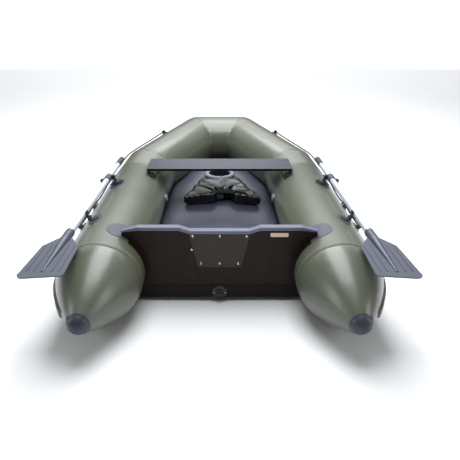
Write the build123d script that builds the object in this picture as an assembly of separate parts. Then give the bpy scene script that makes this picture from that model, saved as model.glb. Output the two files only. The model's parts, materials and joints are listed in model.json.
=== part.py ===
from build123d import *

"""Inflatable dinghy. Millimetres, +X starboard, +Y to the bow, +Z up.

The origin is under the middle of the boat, on the ground. Starboard pieces are
modelled and port pieces are their mirror images. Lengths along the boat are
given from the seam between the stern cone and the side tube.
"""

import math
import os

# ---- driving dimensions: buoyancy tube ----
BEAM = 1312.0
TUBE_DIAMETER = 340.0
SIDE_LENGTH = 1045.0
SHOULDER_LENGTH = 205.0
SHOULDER_ANGLE = 9.0
CHEEK_ANGLE = 30.0
BOW_FLAT_HALF = 155.0
BOW_RISE = 115.0
CONE_LENGTH = 283.0
CONE_TIP_DIAMETER = 76.0
CONE_TOE = 2.4
CONE_ROUNDNESS = 1.6
FABRIC = 1.2
GLUE_GAP = 0.15

# ---- driving dimensions: fittings on the tube ----
CAP_WALL = 3.0
CAP_SKIRT = 6.0
CAP_DOME = 27.0
STRAKE_BAND = 2.6
STRAKE_RIDGE = 5.5
STRAKE_RIDGE_ANGLES = (3.5, 8.5)
STRAKE_HALF_ANGLE = 11.5
STRAKE_CONE_SHARE = 0.8
TAPE_MARGIN = 5.0
TAPE_WIDTH = 20.0
TAPE_THICKNESS = 0.8
PATCH_THICKNESS = 1.5
BULKHEAD_Y = 760.0
VALVE_Y = 885.0
VALVE_ANGLE = 178.0
VALVE_RADIUS = 26.0
VALVE_BARREL = 14.0
VALVE_BORE = 10.0
VALVE_CAP_RADIUS = 20.0
HOLDER_RADIUS = 24.0
HOLDER_LUG = (22.0, 12.0, 24.0)
ROPE_DIAMETER = 10.0
ROPE_ROOM = 2.5
ROPE_CENTRE_HEIGHT = 13.0
ROPE_END_ROOM = 0.9
HANDLE_ANGLE = 32.0
HANDLE_HALF = 104.0
HANDLE_WIDTH = 28.0
HANDLE_RISE = 32.0
HANDLE_WALL = 6.0
TOW_ANGLE = -34.0
TOW_RING_RADIUS = 24.0
TOW_WIRE_RADIUS = 3.2
TOW_EYE_HEIGHT = 12.0

# ---- driving dimensions: transom ----
TRANSOM_Y = 108.0
TRANSOM_THICKNESS = 24.0
TRANSOM_RISE = 18.0
MOTOR_NOTCH_DEPTH = 16.0
MOTOR_NOTCH_HALF = 124.0
MOTOR_NOTCH_RAMP = 44.0
SHOULDER_INSET = 146.0
EAR_INSET = 82.0
TRANSOM_EAR_DROP = 16.0
TRIM_LEG = 12.0
TRIM_TIP_LEG = 4.0
TRIM_WALL = 2.4
FLANGE_BAND = 2.4
FLANGE_REACH = 26.0
FLANGE_LIP = 16.0
FLANGE_LIP_WALL = 3.0
PAD_THICKNESS = 3.0
PAD_TOP_HALF = 126.0
PAD_BOTTOM_HALF = 92.0
PAD_BOTTOM_DROP = 184.0
PAD_TOP_GAP = 16.0
BOLT_RADIUS = 3.0
BOLT_HEAD_RADIUS = 5.4
BOLT_HEAD_HEIGHT = 3.4
NUT_RADIUS = 7.0
NUT_SKIRT = 5.0
NUT_DOME = 6.0
# Each row of bolts: distance below the board's top, and places across it.
BOLT_ROWS = ((38.0, (-112.0, 0.0, 112.0)), (168.0, (-79.0, 0.0, 79.0)))
LINE_SCREW = (-117.0, 101.0)
TETHER_DIAMETER = 3.0
# Corners of the tether: starboard, height, distance aft of the board.
TETHER_ROUTE = (
    (-112.3, 262.0, 1.7),
    (-112.3, 236.0, 1.7),
    (-107.0, 204.0, 1.9),
    (-99.0, 168.0, 2.2),
    (-94.5, 126.0, 2.8),
    (-92.5, 86.0, 3.5),
    (-91.0, 52.0, 3.5),
)
DRAIN_RISE = 24.7
DRAIN_FLANGE_BAND = 17.0
DRAIN_WALL = 4.0
DRAIN_BORE_RADIUS = 13.0
DRAIN_SCREW_X = 24.0
HEM_HEIGHT = 60.0
HEM_THICKNESS = 1.5
PLATE_X = 247.0
PLATE_SIZE = (74.0, 18.0)
PLATE_DROP = 32.0

# ---- driving dimensions: floor, seat and bag ----
BOTTOM_ANGLE = 60.0
FLOOR_THICKNESS = 114.7
FLOOR_CROWN = 25.0
FLOOR_SIDE_GAP = 8.0
FLOOR_EDGE = 54.0
FLOOR_ROUND = 60.0
FLOOR_LAP = 36.0
FLOOR_BOW_GAP = 90.0
FLOOR_TAPER = 34.0
FLOOR_WALL = 1.6
FLOOR_STERN_GAP = 12.0
SEAT_INSET = 72.0
SEAT_WIDTH = 196.0
SEAT_THICKNESS = 18.0
SEAT_RISE = 14.0
SEAT_Y = 890.0
RAIL_ANGLE = 124.5
RAIL_START = 866.0
RAIL_LENGTH = 150.0
SEAT_CLIP_INSET = 30.0
SEAT_CLIP_LENGTH = 72.0
BAG_Y = 886.0
BAG_LENGTH = 372.0
BAG_HALF = 230.0
BAG_MOUTH_HALF = 98.0
BAG_HEIGHT = 66.0
BAG_WALL = 2.0
BAG_BASE = 70.0
BAG_COLLAR = 60.0

# ---- driving dimensions: oars ----
OARLOCK_Y = 710.0
OARLOCK_ANGLE = 69.0
OAR_CLEARANCE = 26.0
STEM_GAP = 4.0
OAR_TOE = 1.2
SHAFT_RADIUS = 15.0
SHAFT_WALL = 1.5
GRIP_END = 342.0
GRIP_LENGTH = 112.0
GRIP_WALL = 2.0
COLLAR_WALL = 5.0
COLLAR_LENGTH = 56.0
BLADE_NECK = 628.0
BLADE_LENGTH = 345.0
BLADE_WIDTH = 150.0
BLADE_THICKNESS = 4.0
PIN_RADIUS = 5.0
PIN_CLEARANCE = 0.06
KNOB_RADIUS = 12.0
SWIVEL_RADIUS = 9.0
LOCK_BASE_RADIUS = 36.0
LOCK_BOSS_RADIUS = 25.0
CLIP_Y = 262.0
CLIP_LENGTH = 24.0
CLIP_ROOM = 2.2

GAP = 0.3

# ---- derived frame values ----
R = TUBE_DIAMETER / 2
SIDE_X = BEAM / 2 - R
STRAKE_OUTER = R + GLUE_GAP + STRAKE_BAND + STRAKE_RIDGE
BOTTOM_REACH = R + 2 * GAP
BOTTOM_TOP = R - BOTTOM_REACH * math.sin(math.radians(BOTTOM_ANGLE))
FLOOR_TOP = BOTTOM_TOP + FLOOR_THICKNESS
FLOOR_SHOULDER = FLOOR_TOP - FLOOR_CROWN
FLOOR_RIM = FLOOR_SHOULDER - FLOOR_EDGE
FLOOR_HALF = SIDE_X - math.sqrt(R**2 - (R - FLOOR_RIM) ** 2) - FLOOR_SIDE_GAP
FLOOR_INSET = R - FLOOR_LAP
SEAT_TOP = TUBE_DIAMETER + SEAT_RISE
SEAT_LENGTH = 2 * (SIDE_X - SEAT_INSET)
TRANSOM_BOTTOM = BOTTOM_TOP
TRANSOM_TOP = TUBE_DIAMETER + TRANSOM_RISE
TRANSOM_SHOULDER = SIDE_X - SHOULDER_INSET
TRANSOM_EAR = SIDE_X - EAR_INSET
PAD_BOTTOM = TRANSOM_TOP - PAD_BOTTOM_DROP
HEM_TOP = TRANSOM_BOTTOM + HEM_HEIGHT
DRAIN_Z = TRANSOM_BOTTOM + DRAIN_RISE
DRAIN_TUBE_RADIUS = DRAIN_BORE_RADIUS + DRAIN_WALL
DRAIN_FLANGE_RADIUS = DRAIN_TUBE_RADIUS + DRAIN_FLANGE_BAND
GRIP_RADIUS = SHAFT_RADIUS + GRIP_WALL
COLLAR_RADIUS = SHAFT_RADIUS + COLLAR_WALL
OAR_STANDOFF = SHAFT_RADIUS + OAR_CLEARANCE
OAR_OFFSET = SWIVEL_RADIUS + STEM_GAP + COLLAR_RADIUS
ROPE_HOLE_RADIUS = ROPE_DIAMETER / 2 + ROPE_ROOM


def unit(angle):
    return math.cos(math.radians(angle)), math.sin(math.radians(angle))


shoulder_dx = SHOULDER_LENGTH * math.sin(math.radians(SHOULDER_ANGLE))
shoulder_dy = SHOULDER_LENGTH * math.cos(math.radians(SHOULDER_ANGLE))
cheek_dx = SIDE_X - shoulder_dx - BOW_FLAT_HALF
cheek_dy = cheek_dx / math.tan(math.radians(CHEEK_ANGLE))
RISE_RATE = BOW_RISE / (shoulder_dy + cheek_dy)
RISE_ANGLE = math.degrees(math.atan(RISE_RATE))
BOW_AXIS_Y = SIDE_LENGTH + shoulder_dy + cheek_dy
STERN_END = -(CONE_LENGTH + CAP_DOME) * math.cos(math.radians(CONE_TOE))
BOW_END = BOW_AXIS_Y + STRAKE_OUTER * unit(STRAKE_RIDGE_ANGLES[0])[0]
Y0 = -(STERN_END + BOW_END) / 2


def station(y):
    """Place along the boat, from the stern seam, in the part's frame."""
    return y + Y0


# Corner points of the tube's axis, from the stern seam to the middle of the bow.
SEAM = Vector(SIDE_X, station(0), R)
BEND_1 = Vector(SIDE_X, station(SIDE_LENGTH), R)
BEND_2 = BEND_1 + Vector(-shoulder_dx, shoulder_dy, shoulder_dy * RISE_RATE)
BEND_3 = BEND_2 + Vector(-cheek_dx, cheek_dy, cheek_dy * RISE_RATE)
BEND_4 = Vector(-BEND_3.X, BEND_3.Y, BEND_3.Z)
CONE_DIRECTION = Vector(math.sin(math.radians(CONE_TOE)), -math.cos(math.radians(CONE_TOE)), 0)
TIP = SEAM + CONE_DIRECTION * CONE_LENGTH
PANELS = {
    "side": (TIP, SEAM, BEND_1, BEND_2),
    "shoulder": (SEAM, BEND_1, BEND_2, BEND_3),
    "cheek": (BEND_1, BEND_2, BEND_3, BEND_4),
    "bow": (BEND_2, BEND_3, BEND_4, Vector(-BEND_2.X, BEND_2.Y, BEND_2.Z)),
}
CUT_MARGIN = 260.0
MIRROR = Plane.YZ
STANDING = (Align.CENTER, Align.CENTER, Align.MIN)
ON_EDGE_Y = (Align.CENTER, Align.MIN, Align.CENTER)


def write(name, *solids):
    shape = solids[0] if len(solids) == 1 else Compound(children=list(solids))
    export_step(shape, f"parts/{name}.step")


def solid_of(shape):
    """The single solid of a finished piece."""
    solids = shape.solids()
    assert len(solids) == 1, f"expected one solid, found {len(solids)}"
    return solids[0]


def mirrored(solid):
    return solid.mirror(MIRROR)


def write_pair(name, solid):
    write(f"{name}_right", solid)
    write(f"{name}_left", mirrored(solid))


def panel_plane(start, end):
    """Local frame of a straight stretch of tube: x is up, y is outward, z runs along it."""
    along = (end - start).normalized()
    outward = along.cross(Vector(0, 0, 1)).normalized()
    return Plane(origin=start, x_dir=outward.cross(along), z_dir=along)


def mitre_plane(before, corner, after):
    """Plane that halves the angle between two stretches; its normal points forward."""
    normal = (corner - before).normalized() + (after - corner).normalized()
    return Plane(origin=corner, z_dir=normal.normalized())


def mitred(face, before, start, end, after):
    """Extrudes a section along one stretch of tube and mitres both ends."""
    plane = panel_plane(start, end)
    length = (end - start).length
    section = plane.offset(-CUT_MARGIN) * face
    body = extrude(section, amount=length + 2 * CUT_MARGIN, dir=plane.z_dir)
    body = split(body, bisect_by=mitre_plane(before, start, end), keep=Keep.TOP)
    body = split(body, bisect_by=mitre_plane(start, end, after), keep=Keep.BOTTOM)
    return solid_of(body)


def sector(inner, outer, low, high):
    """Ring sector between two radii and two angles above the outward direction."""

    def at(radius, angle):
        c, s = unit(angle)
        return radius * s, radius * c

    middle = (low + high) / 2
    outline = [
        ThreePointArc(at(inner, low), at(inner, middle), at(inner, high)),
        Line(at(inner, high), at(outer, high)),
        ThreePointArc(at(outer, high), at(outer, middle), at(outer, low)),
        Line(at(outer, low), at(inner, low)),
    ]
    return make_face(outline)


def tube_frame(y, angle, height=0.0):
    """Plane on the side tube: z leaves the tube, x points down the outer side, y is forward."""
    c, s = unit(angle)
    normal = Vector(c, 0, s)
    tangent = Vector(s, 0, -c)
    origin = Vector(SIDE_X, station(y), R) + normal * (R + height)
    return Plane(origin=origin, x_dir=tangent, z_dir=normal)


def side_band(inner, outer, low, high, start, end):
    """Band that wraps the side tube between two angles and two stations."""
    plane = panel_plane(SEAM, BEND_1).offset(start)
    return solid_of(extrude(plane * sector(inner, outer, low, high), amount=end - start, dir=plane.z_dir))


def bend_radii(points):
    """Largest bend at each corner that its two runs leave room for."""
    radii = []
    for a, b, c in zip(points, points[1:], points[2:]):
        turn = (b - a).get_angle(c - b)
        shorter = min((b - a).length, (c - b).length)
        radii.append(0.45 * shorter / math.tan(math.radians(turn / 2)))
    return radii


# ---- buoyancy tube ----
def cone_profile(inset):
    """Cone wall radius at each share of its length, drawn inward by an inset."""
    tip_radius = CONE_TIP_DIAMETER / 2

    def radius(share):
        return tip_radius + (R - tip_radius) * (1 - share**CONE_ROUNDNESS) - inset

    length = CONE_LENGTH - inset
    shares = (0.03, 0.2, 0.4, 0.6, 0.8, 1.0)
    return [(radius(share), share * length) for share in shares]


def cone_face(inset, back):
    points = cone_profile(inset)
    start_radius = R - inset
    outline = [
        Polyline((0, back), (start_radius, back), points[0]),
        Spline(*points),
        Polyline(points[-1], (0, points[-1][1]), (0, back)),
    ]
    return make_face(outline)


def cone_plane():
    """Local frame of the cone: z runs aft along its axis and x is outward."""
    outward = CONE_DIRECTION.cross(Vector(0, 0, -1)).normalized()
    return Plane(origin=SEAM, x_dir=outward, z_dir=CONE_DIRECTION)


def spin(face, angle=360.0):
    """Turns a face drawn in radius and length about the local z axis."""
    if face.faces()[0].normal_at().Z < 0:
        face = -face.faces()[0]
    return revolve(Plane.XZ * face, axis=Axis.Z, revolution_arc=angle)


def dome(radius, base, height):
    """Arc from a rim to the local axis, part of a sphere centred on that axis."""
    ball = (radius**2 + height**2) / (2 * abs(height))
    sign = 1 if height > 0 else -1
    half = math.asin(radius / ball) / 2
    middle = (ball * math.sin(half), base + height - sign * ball * (1 - math.cos(half)))
    return ThreePointArc((radius, base), middle, (0, base + height))


def make_cone():
    outer = spin(mirror(cone_face(0.0, -40.0), about=Plane.YZ))
    inner = spin(mirror(cone_face(FABRIC, -50.0), about=Plane.YZ))
    body = cone_plane() * (outer - inner)
    return solid_of(split(body, bisect_by=mitre_plane(TIP, SEAM, BEND_1), keep=Keep.BOTTOM))


def make_cap():
    """Rubber end cap: a skirt over the cone's tip and a shallow dome."""
    profile = cone_profile(0.0)
    tip_radius = profile[-1][0]
    slope = (profile[-2][0] - tip_radius) / (profile[-1][1] - profile[-2][1])
    inner = tip_radius + GAP
    skirt_inner = inner + slope * CAP_SKIRT + GAP
    top = CONE_LENGTH + CAP_DOME
    outline = [
        Line((0, CONE_LENGTH + GAP), (inner, CONE_LENGTH + GAP)),
        Line((inner, CONE_LENGTH + GAP), (skirt_inner, CONE_LENGTH - CAP_SKIRT)),
        Line((skirt_inner, CONE_LENGTH - CAP_SKIRT), (skirt_inner + CAP_WALL, CONE_LENGTH - CAP_SKIRT)),
        Line((skirt_inner + CAP_WALL, CONE_LENGTH - CAP_SKIRT), (inner + CAP_WALL, CONE_LENGTH)),
        dome(inner + CAP_WALL, CONE_LENGTH, CAP_DOME),
        Line((0, top), (0, CONE_LENGTH + GAP)),
    ]
    return solid_of(cone_plane() * spin(make_face(outline)))


def strake_face():
    base = R + GLUE_GAP
    band = sector(base, base + STRAKE_BAND, -STRAKE_HALF_ANGLE, STRAKE_HALF_ANGLE)
    low, high = STRAKE_RIDGE_ANGLES
    upper = sector(base + STRAKE_BAND, STRAKE_OUTER, low, high)
    lower = sector(base + STRAKE_BAND, STRAKE_OUTER, -high, -low)
    return band + upper + lower


def make_cone_strake():
    """The strake's tail on the cone, cut off square before the cap."""
    points = cone_profile(0.0)
    last = round(STRAKE_CONE_SHARE * 5)
    rise = STRAKE_BAND + STRAKE_RIDGE
    inner = [(r + GLUE_GAP + GAP, z) for r, z in points[: last + 1]]
    outer = [(r + GLUE_GAP + GAP + rise, z) for r, z in points[: last + 1]]
    outline = [
        Spline(*inner),
        Line(inner[-1], outer[-1]),
        Spline(*outer),
        Line(outer[0], inner[0]),
    ]
    tail = spin(make_face(outline), 2 * STRAKE_HALF_ANGLE)
    return solid_of(cone_plane() * (Rot(0, 0, -STRAKE_HALF_ANGLE) * tail))


def make_seam_tape():
    inner = R + GLUE_GAP
    edge = STRAKE_HALF_ANGLE + 1.0
    start = TAPE_MARGIN
    return side_band(inner, inner + TAPE_THICKNESS, edge, 360 - edge, start, start + TAPE_WIDTH)


def make_bulkhead():
    disc = Circle(R - FABRIC - GLUE_GAP)
    plane = panel_plane(SEAM, BEND_1).offset(BULKHEAD_Y)
    return solid_of(extrude(plane * disc, amount=FABRIC, dir=plane.z_dir))


def make_side_tube(ring):
    barrel = Cylinder(VALVE_BARREL + GLUE_GAP, 60)
    return solid_of(mitred(ring, *PANELS["side"]) - tube_frame(VALVE_Y, VALVE_ANGLE) * barrel)


def build_hull():
    ring = Circle(R) - Circle(R - FABRIC)
    write_pair("side_tube", make_side_tube(ring))
    for name in ("shoulder", "cheek"):
        write_pair(f"{name}_tube", mitred(ring, *PANELS[name]))
    write("bow_tube", mitred(ring, *PANELS["bow"]))
    write_pair("stern_cone", make_cone())
    cap = make_cap()
    write("stern_caps", cap, mirrored(cap))
    write_pair("side_strake", mitred(strake_face(), *PANELS["side"]))
    front = [mitred(strake_face(), *PANELS[name]) for name in ("shoulder", "cheek")]
    bow = mitred(strake_face(), *PANELS["bow"])
    write("bow_strake", bow, *front, *[mirrored(s) for s in front])
    tail = make_cone_strake()
    write("cone_strakes", tail, mirrored(tail))
    tape = make_seam_tape()
    write("seam_tapes", tape, mirrored(tape))
    bulkhead = make_bulkhead()
    write("bulkheads", bulkhead, mirrored(bulkhead))


# ---- bottom, floor ----
def plan_corners(inset, bow_gap):
    """Half of the cockpit's outline, inset from the tube's axis, from stern to bow."""
    points = [BEND_1, BEND_2, BEND_3, BEND_4]
    insets = [inset, inset, inset, inset + bow_gap]
    lines = []
    for a, b, distance in zip([SEAM] + points, points, insets):
        heading = Vector(b.X - a.X, b.Y - a.Y, 0).normalized()
        inward = Vector(-heading.Y, heading.X, 0)
        lines.append((Vector(a.X, a.Y, 0) + inward * distance, heading))
    corners = []
    for (p, u), (q, v) in zip(lines, lines[1:]):
        reach = (q - p).cross(v).Z / u.cross(v).Z
        corners.append(p + u * reach)
    return corners


def cockpit_plan(inset, stern, bow_gap=0.0):
    corners = plan_corners(inset, bow_gap)
    side = corners[0].X
    right = [(side, stern)] + [(c.X, c.Y) for c in corners]
    left = [(-x, y) for x, y in reversed(right)]
    return make_face(Polyline(*right, *left, close=True))


def two_level(shape_at):
    """Joins a level aft part and a forward part that climbs with the bow."""
    c, s = unit(RISE_ANGLE / 2)
    hinge = Plane(origin=BEND_1, z_dir=(0, c, s))
    aft = split(shape_at, bisect_by=hinge, keep=Keep.BOTTOM)
    turn = Pos(0, BEND_1.Y, R) * Rot(RISE_ANGLE, 0, 0) * Pos(0, -BEND_1.Y, -R)
    fore = split(turn * shape_at, bisect_by=hinge, keep=Keep.TOP)
    return solid_of(aft + fore)


def make_bottom():
    inset = BOTTOM_REACH * unit(BOTTOM_ANGLE)[0]
    plan = cockpit_plan(inset, station(TRANSOM_Y + TRANSOM_THICKNESS + GAP))
    return two_level(Pos(0, 0, BOTTOM_TOP - FABRIC) * extrude(plan, amount=FABRIC))


def crown_solid(inset):
    """Long solid with the floor's crowned section."""
    rim = FLOOR_RIM
    base = BOTTOM_TOP + GAP + inset
    half = FLOOR_HALF - inset
    shoulder = (half - FLOOR_ROUND, FLOOR_SHOULDER - inset)
    bulge = (half - FLOOR_ROUND / 3, rim + FLOOR_EDGE * 0.63)
    outline = [
        Polyline((-half, rim), (-half, base), (half, base), (half, rim)),
        ThreePointArc((half, rim), bulge, shoulder),
        ThreePointArc(shoulder, (0, FLOOR_TOP - inset), (-shoulder[0], shoulder[1])),
        ThreePointArc((-shoulder[0], shoulder[1]), (-bulge[0], bulge[1]), (-half, rim)),
    ]
    start = station(TRANSOM_Y + TRANSOM_THICKNESS + FLOOR_STERN_GAP) + inset
    plane = Plane(origin=(0, start, 0), x_dir=(1, 0, 0), z_dir=(0, -1, 0))
    return extrude(plane * make_face(outline), amount=-(BOW_END + 400))


def make_floor():
    def level(inset):
        start = station(TRANSOM_Y + TRANSOM_THICKNESS + FLOOR_STERN_GAP) + inset
        plan = cockpit_plan(FLOOR_INSET + inset, start, FLOOR_BOW_GAP)
        lower = extrude(plan, amount=FLOOR_RIM)
        upper = Pos(0, 0, FLOOR_RIM) * extrude(plan, amount=FLOOR_TOP - FLOOR_RIM, taper=FLOOR_TAPER)
        stern = Pos(0, start, 0) * Box(2 * BEAM, 2 * BOW_END, 4 * R, align=ON_EDGE_Y)
        return crown_solid(inset) & ((lower + upper) & stern)

    return two_level(level(0.0)) - two_level(level(FLOOR_WALL))


def build_floor():
    write("bottom_fabric", make_bottom())
    write("floor_mat", solid_of(make_floor()))


# ---- transom ----
def transom_top_line():
    """Upper outline of the board's right half, from the middle to the ear."""
    notch = TRANSOM_TOP - MOTOR_NOTCH_DEPTH
    return [
        (0, notch),
        (MOTOR_NOTCH_HALF, notch),
        (MOTOR_NOTCH_HALF + MOTOR_NOTCH_RAMP, TRANSOM_TOP),
        (TRANSOM_SHOULDER, TRANSOM_TOP),
        (TRANSOM_EAR, TRANSOM_TOP - TRANSOM_EAR_DROP),
    ]


SEAT_RADIUS = R + GLUE_GAP + FLANGE_BAND + GLUE_GAP


def tube_height(x, radius, upper=True):
    rise = math.sqrt(radius**2 - (SIDE_X - x) ** 2)
    return R + rise if upper else R - rise


def transom_plane(offset=0.0):
    """Plane across the boat whose x is starboard, y is up and z runs aft."""
    return Plane(origin=(0, station(TRANSOM_Y + offset), 0), x_dir=(1, 0, 0), z_dir=(0, -1, 0))


def plate_between(face, front, back):
    """Extrudes an upright face from one station to another, given from the board's aft face."""
    return extrude(transom_plane(front) * face, amount=front - back)


def outline_face(points):
    right = list(points)
    left = [(-x, z) for x, z in reversed(right) if x > 0]
    return make_face(Polyline(*right, *left, close=True))


def board_face():
    right = transom_top_line()
    right += [(TRANSOM_EAR, TRANSOM_BOTTOM), (0, TRANSOM_BOTTOM)]
    tubes = [Pos(side * SIDE_X, R) * Circle(SEAT_RADIUS) for side in (1, -1)]
    face = outline_face(right) - tubes[0] - tubes[1]
    return max(face.faces(), key=lambda f: f.area)


def bolt_places():
    return [(x, TRANSOM_TOP - drop) for drop, row in BOLT_ROWS for x in row]


def drain_hole(radius):
    return Pos(0, DRAIN_Z) * Circle(radius)


def make_board():
    face = board_face()
    for x, z in bolt_places():
        face -= Pos(x, z) * Circle(BOLT_RADIUS + 2 * PIN_CLEARANCE)
    face -= drain_hole(DRAIN_TUBE_RADIUS + GLUE_GAP)
    return solid_of(plate_between(face, 0.0, TRANSOM_THICKNESS))


def make_trim():
    """Edge channel that wraps the board's top from ear to ear."""
    top = transom_top_line()
    raised = [(x, z + TRIM_WALL) for x, z in top]
    lowered = [(x, z - TRIM_LEG) for x, z in top[:-1]] + [(top[-1][0], top[-1][1] - TRIM_TIP_LEG)]
    lowered.reverse()
    band = outline_face(raised + lowered)
    outer = plate_between(band, -TRIM_WALL, TRANSOM_THICKNESS + TRIM_WALL)
    core = outline_face(top + [(TRANSOM_EAR, 0), (0, 0)])
    return solid_of(outer - plate_between(core, 0.0, TRANSOM_THICKNESS))


def make_flange():
    """Rubber seat glued to the tube, with a lip on each face of the board."""
    low, high = 180 - 50.0, 180 + 56.0
    inner = R + GLUE_GAP
    band = side_band(
        inner, inner + FLANGE_BAND, low, high,
        TRANSOM_Y - FLANGE_REACH, TRANSOM_Y + TRANSOM_THICKNESS + FLANGE_REACH,
    )
    body = band
    overlap = 0.5
    aft_lip = TRANSOM_Y - HEM_THICKNESS - GLUE_GAP - FLANGE_LIP_WALL
    for start in (aft_lip, TRANSOM_Y + TRANSOM_THICKNESS + GLUE_GAP):
        body += side_band(
            inner + FLANGE_BAND - overlap, inner + FLANGE_BAND + FLANGE_LIP, low, high - 6,
            start, start + FLANGE_LIP_WALL,
        )
    return solid_of(body)


def make_pads():
    top = TRANSOM_TOP - MOTOR_NOTCH_DEPTH - PAD_TOP_GAP + TRIM_WALL
    face = outline_face([(0, top), (PAD_TOP_HALF, top), (PAD_BOTTOM_HALF, PAD_BOTTOM), (0, PAD_BOTTOM)])
    for x, z in bolt_places():
        face -= Pos(x, z) * Circle(BOLT_RADIUS + 2 * PIN_CLEARANCE)
    outer = plate_between(face, -PAD_THICKNESS, 0.0)
    inner = plate_between(face, TRANSOM_THICKNESS, TRANSOM_THICKNESS + PAD_THICKNESS)
    return solid_of(outer), solid_of(inner)


def dome_bolt(x, z, head_face, length):
    """Dome-headed bolt whose head stands aft of a station; its shank runs forward."""
    profile = [
        Polyline((0, -length), (BOLT_RADIUS, -length), (BOLT_RADIUS, 0), (BOLT_HEAD_RADIUS, 0)),
        dome(BOLT_HEAD_RADIUS, 0, BOLT_HEAD_HEIGHT),
        Line((0, BOLT_HEAD_HEIGHT), (0, -length)),
    ]
    place = transom_plane(head_face) * Pos(x, z, 0)
    return solid_of(place * spin(make_face(profile)))


def cap_nut(x, z, seat_face, depth):
    """Domed nut on the inner pad, over the end of a bolt."""
    bore = BOLT_RADIUS + PIN_CLEARANCE
    profile = [
        Polyline((bore, 0), (NUT_RADIUS, 0), (NUT_RADIUS, -NUT_SKIRT)),
        dome(NUT_RADIUS, -NUT_SKIRT, -NUT_DOME),
        Polyline((0, -NUT_SKIRT - NUT_DOME), (0, -depth), (bore, -depth), (bore, 0)),
    ]
    place = transom_plane(seat_face) * Pos(x, z, 0)
    return solid_of(place * spin(make_face(profile)))


def make_tether():
    """Cord that is caught under its screw and hangs down the board."""
    plane = transom_plane()
    points = [plane.from_local_coords(place) for place in TETHER_ROUTE]
    path = FilletPolyline(*points, radius=bend_radii(points))
    start = Plane(origin=points[0], z_dir=(points[1] - points[0]).normalized())
    tether = solid_of(sweep(start * Circle(TETHER_DIAMETER / 2), path=path))
    print("tether length", round(path.length))
    return tether


def make_drain_body():
    """Flanged tube through the board, open for the plug."""
    aft = HEM_THICKNESS + GLUE_GAP
    length = aft + TRANSOM_THICKNESS + 6.0
    profile = [
        Polyline(
            (DRAIN_BORE_RADIUS, -length), (DRAIN_TUBE_RADIUS, -length), (DRAIN_TUBE_RADIUS, 0),
            (DRAIN_FLANGE_RADIUS, 0), (DRAIN_FLANGE_RADIUS, 3.0), (DRAIN_FLANGE_RADIUS - 3.0, 6.0),
            (DRAIN_BORE_RADIUS, 6.0), (DRAIN_BORE_RADIUS, -length),
        ),
    ]
    body = transom_plane(-aft) * Pos(0, DRAIN_Z, 0) * spin(make_face(profile))
    for side in (1, -1):
        hole = Cylinder(1.6, 40)
        body -= transom_plane(-aft) * Pos(side * DRAIN_SCREW_X, DRAIN_Z, 0) * hole
    return solid_of(body)


def make_drain_screw(side):
    profile = [
        Polyline((0, -12), (1.5, -12), (1.5, 6.1), (3.6, 6.1)),
        dome(3.6, 6.1, 2.1),
        Line((0, 8.2), (0, -12)),
    ]
    aft = HEM_THICKNESS + GLUE_GAP
    place = transom_plane(-aft) * Pos(side * DRAIN_SCREW_X, DRAIN_Z, 0)
    return solid_of(place * spin(make_face(profile)))


def make_drain_plug():
    radius = DRAIN_BORE_RADIUS - PIN_CLEARANCE
    outline = ((0, -18), (radius, -18), (radius, 6.2), (17.0, 6.2), (17.0, 10.0), (14.0, 12.5), (0, 12.5))
    aft = HEM_THICKNESS + GLUE_GAP
    plug = spin(make_face(Polyline(*outline, close=True)))
    plug += Pos(0, 0, 15.5) * Box(24, 4.5, 7)
    return solid_of(transom_plane(-aft) * Pos(0, DRAIN_Z, 0) * plug)


def make_hem():
    """Bottom fabric's hem, glued up the board's aft face."""
    lip_radius = R + GLUE_GAP + FLANGE_BAND + GLUE_GAP
    strip = Rectangle(2 * TRANSOM_EAR, HEM_TOP - TRANSOM_BOTTOM)
    face = Pos(0, (TRANSOM_BOTTOM + HEM_TOP) / 2) * strip
    for side in (1, -1):
        face -= Pos(side * SIDE_X, R) * Circle(lip_radius)
        face -= Pos(side * DRAIN_SCREW_X, DRAIN_Z) * Circle(1.6)
    face -= drain_hole(DRAIN_TUBE_RADIUS + GLUE_GAP)
    hem = max(face.faces(), key=lambda f: f.area)
    return solid_of(plate_between(hem, -HEM_THICKNESS, 0.0))


def make_label():
    z = TRANSOM_TOP - PLATE_DROP
    face = Pos(PLATE_X, z) * RectangleRounded(*PLATE_SIZE, 2.5)
    return solid_of(plate_between(face, -1.0, 0.0))


def make_corner_patch():
    """Oval reinforcement on the tube where the board's ear lands."""
    inner = R + GLUE_GAP
    ring = side_band(inner, inner + PATCH_THICKNESS, 70, 129, TRANSOM_Y - 60, TRANSOM_Y + 140)
    oval = Ellipse(59, 58)
    cutter = extrude(Pos(TRANSOM_EAR + 10, station(TRANSOM_Y + 42)) * oval, amount=3 * R)
    return solid_of(ring & cutter)


def build_transom():
    board = make_board()
    drain_screws = [make_drain_screw(side) for side in (1, -1)]
    for screw in drain_screws:
        board -= screw
    x, drop = LINE_SCREW
    line_screw = dome_bolt(x, TRANSOM_TOP - drop, -TETHER_DIAMETER - 2 * GLUE_GAP, 18.0)
    board -= line_screw
    write("transom_board", solid_of(board))
    write("transom_trim", make_trim())
    flange = make_flange()
    write("transom_flanges", flange, mirrored(flange))
    outer_pad, inner_pad = make_pads()
    write("motor_pad_outer", outer_pad - line_screw)
    write("motor_pad_inner", inner_pad)
    shank = PAD_THICKNESS + TRANSOM_THICKNESS + PAD_THICKNESS + 6.0
    bolts = [dome_bolt(x, z, -PAD_THICKNESS, shank) for x, z in bolt_places()]
    nuts = [cap_nut(x, z, TRANSOM_THICKNESS + PAD_THICKNESS, 7.0) for x, z in bolt_places()]
    write("transom_screws", *bolts, line_screw, *drain_screws)
    write("pad_nuts", *nuts)
    write("plug_tether", make_tether())
    write("bottom_hem", make_hem())
    write("label_plate", make_label())
    write("drain_body", make_drain_body())
    write("drain_plug", make_drain_plug())
    patch = make_corner_patch()
    write("corner_patches", patch, mirrored(patch))


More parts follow.
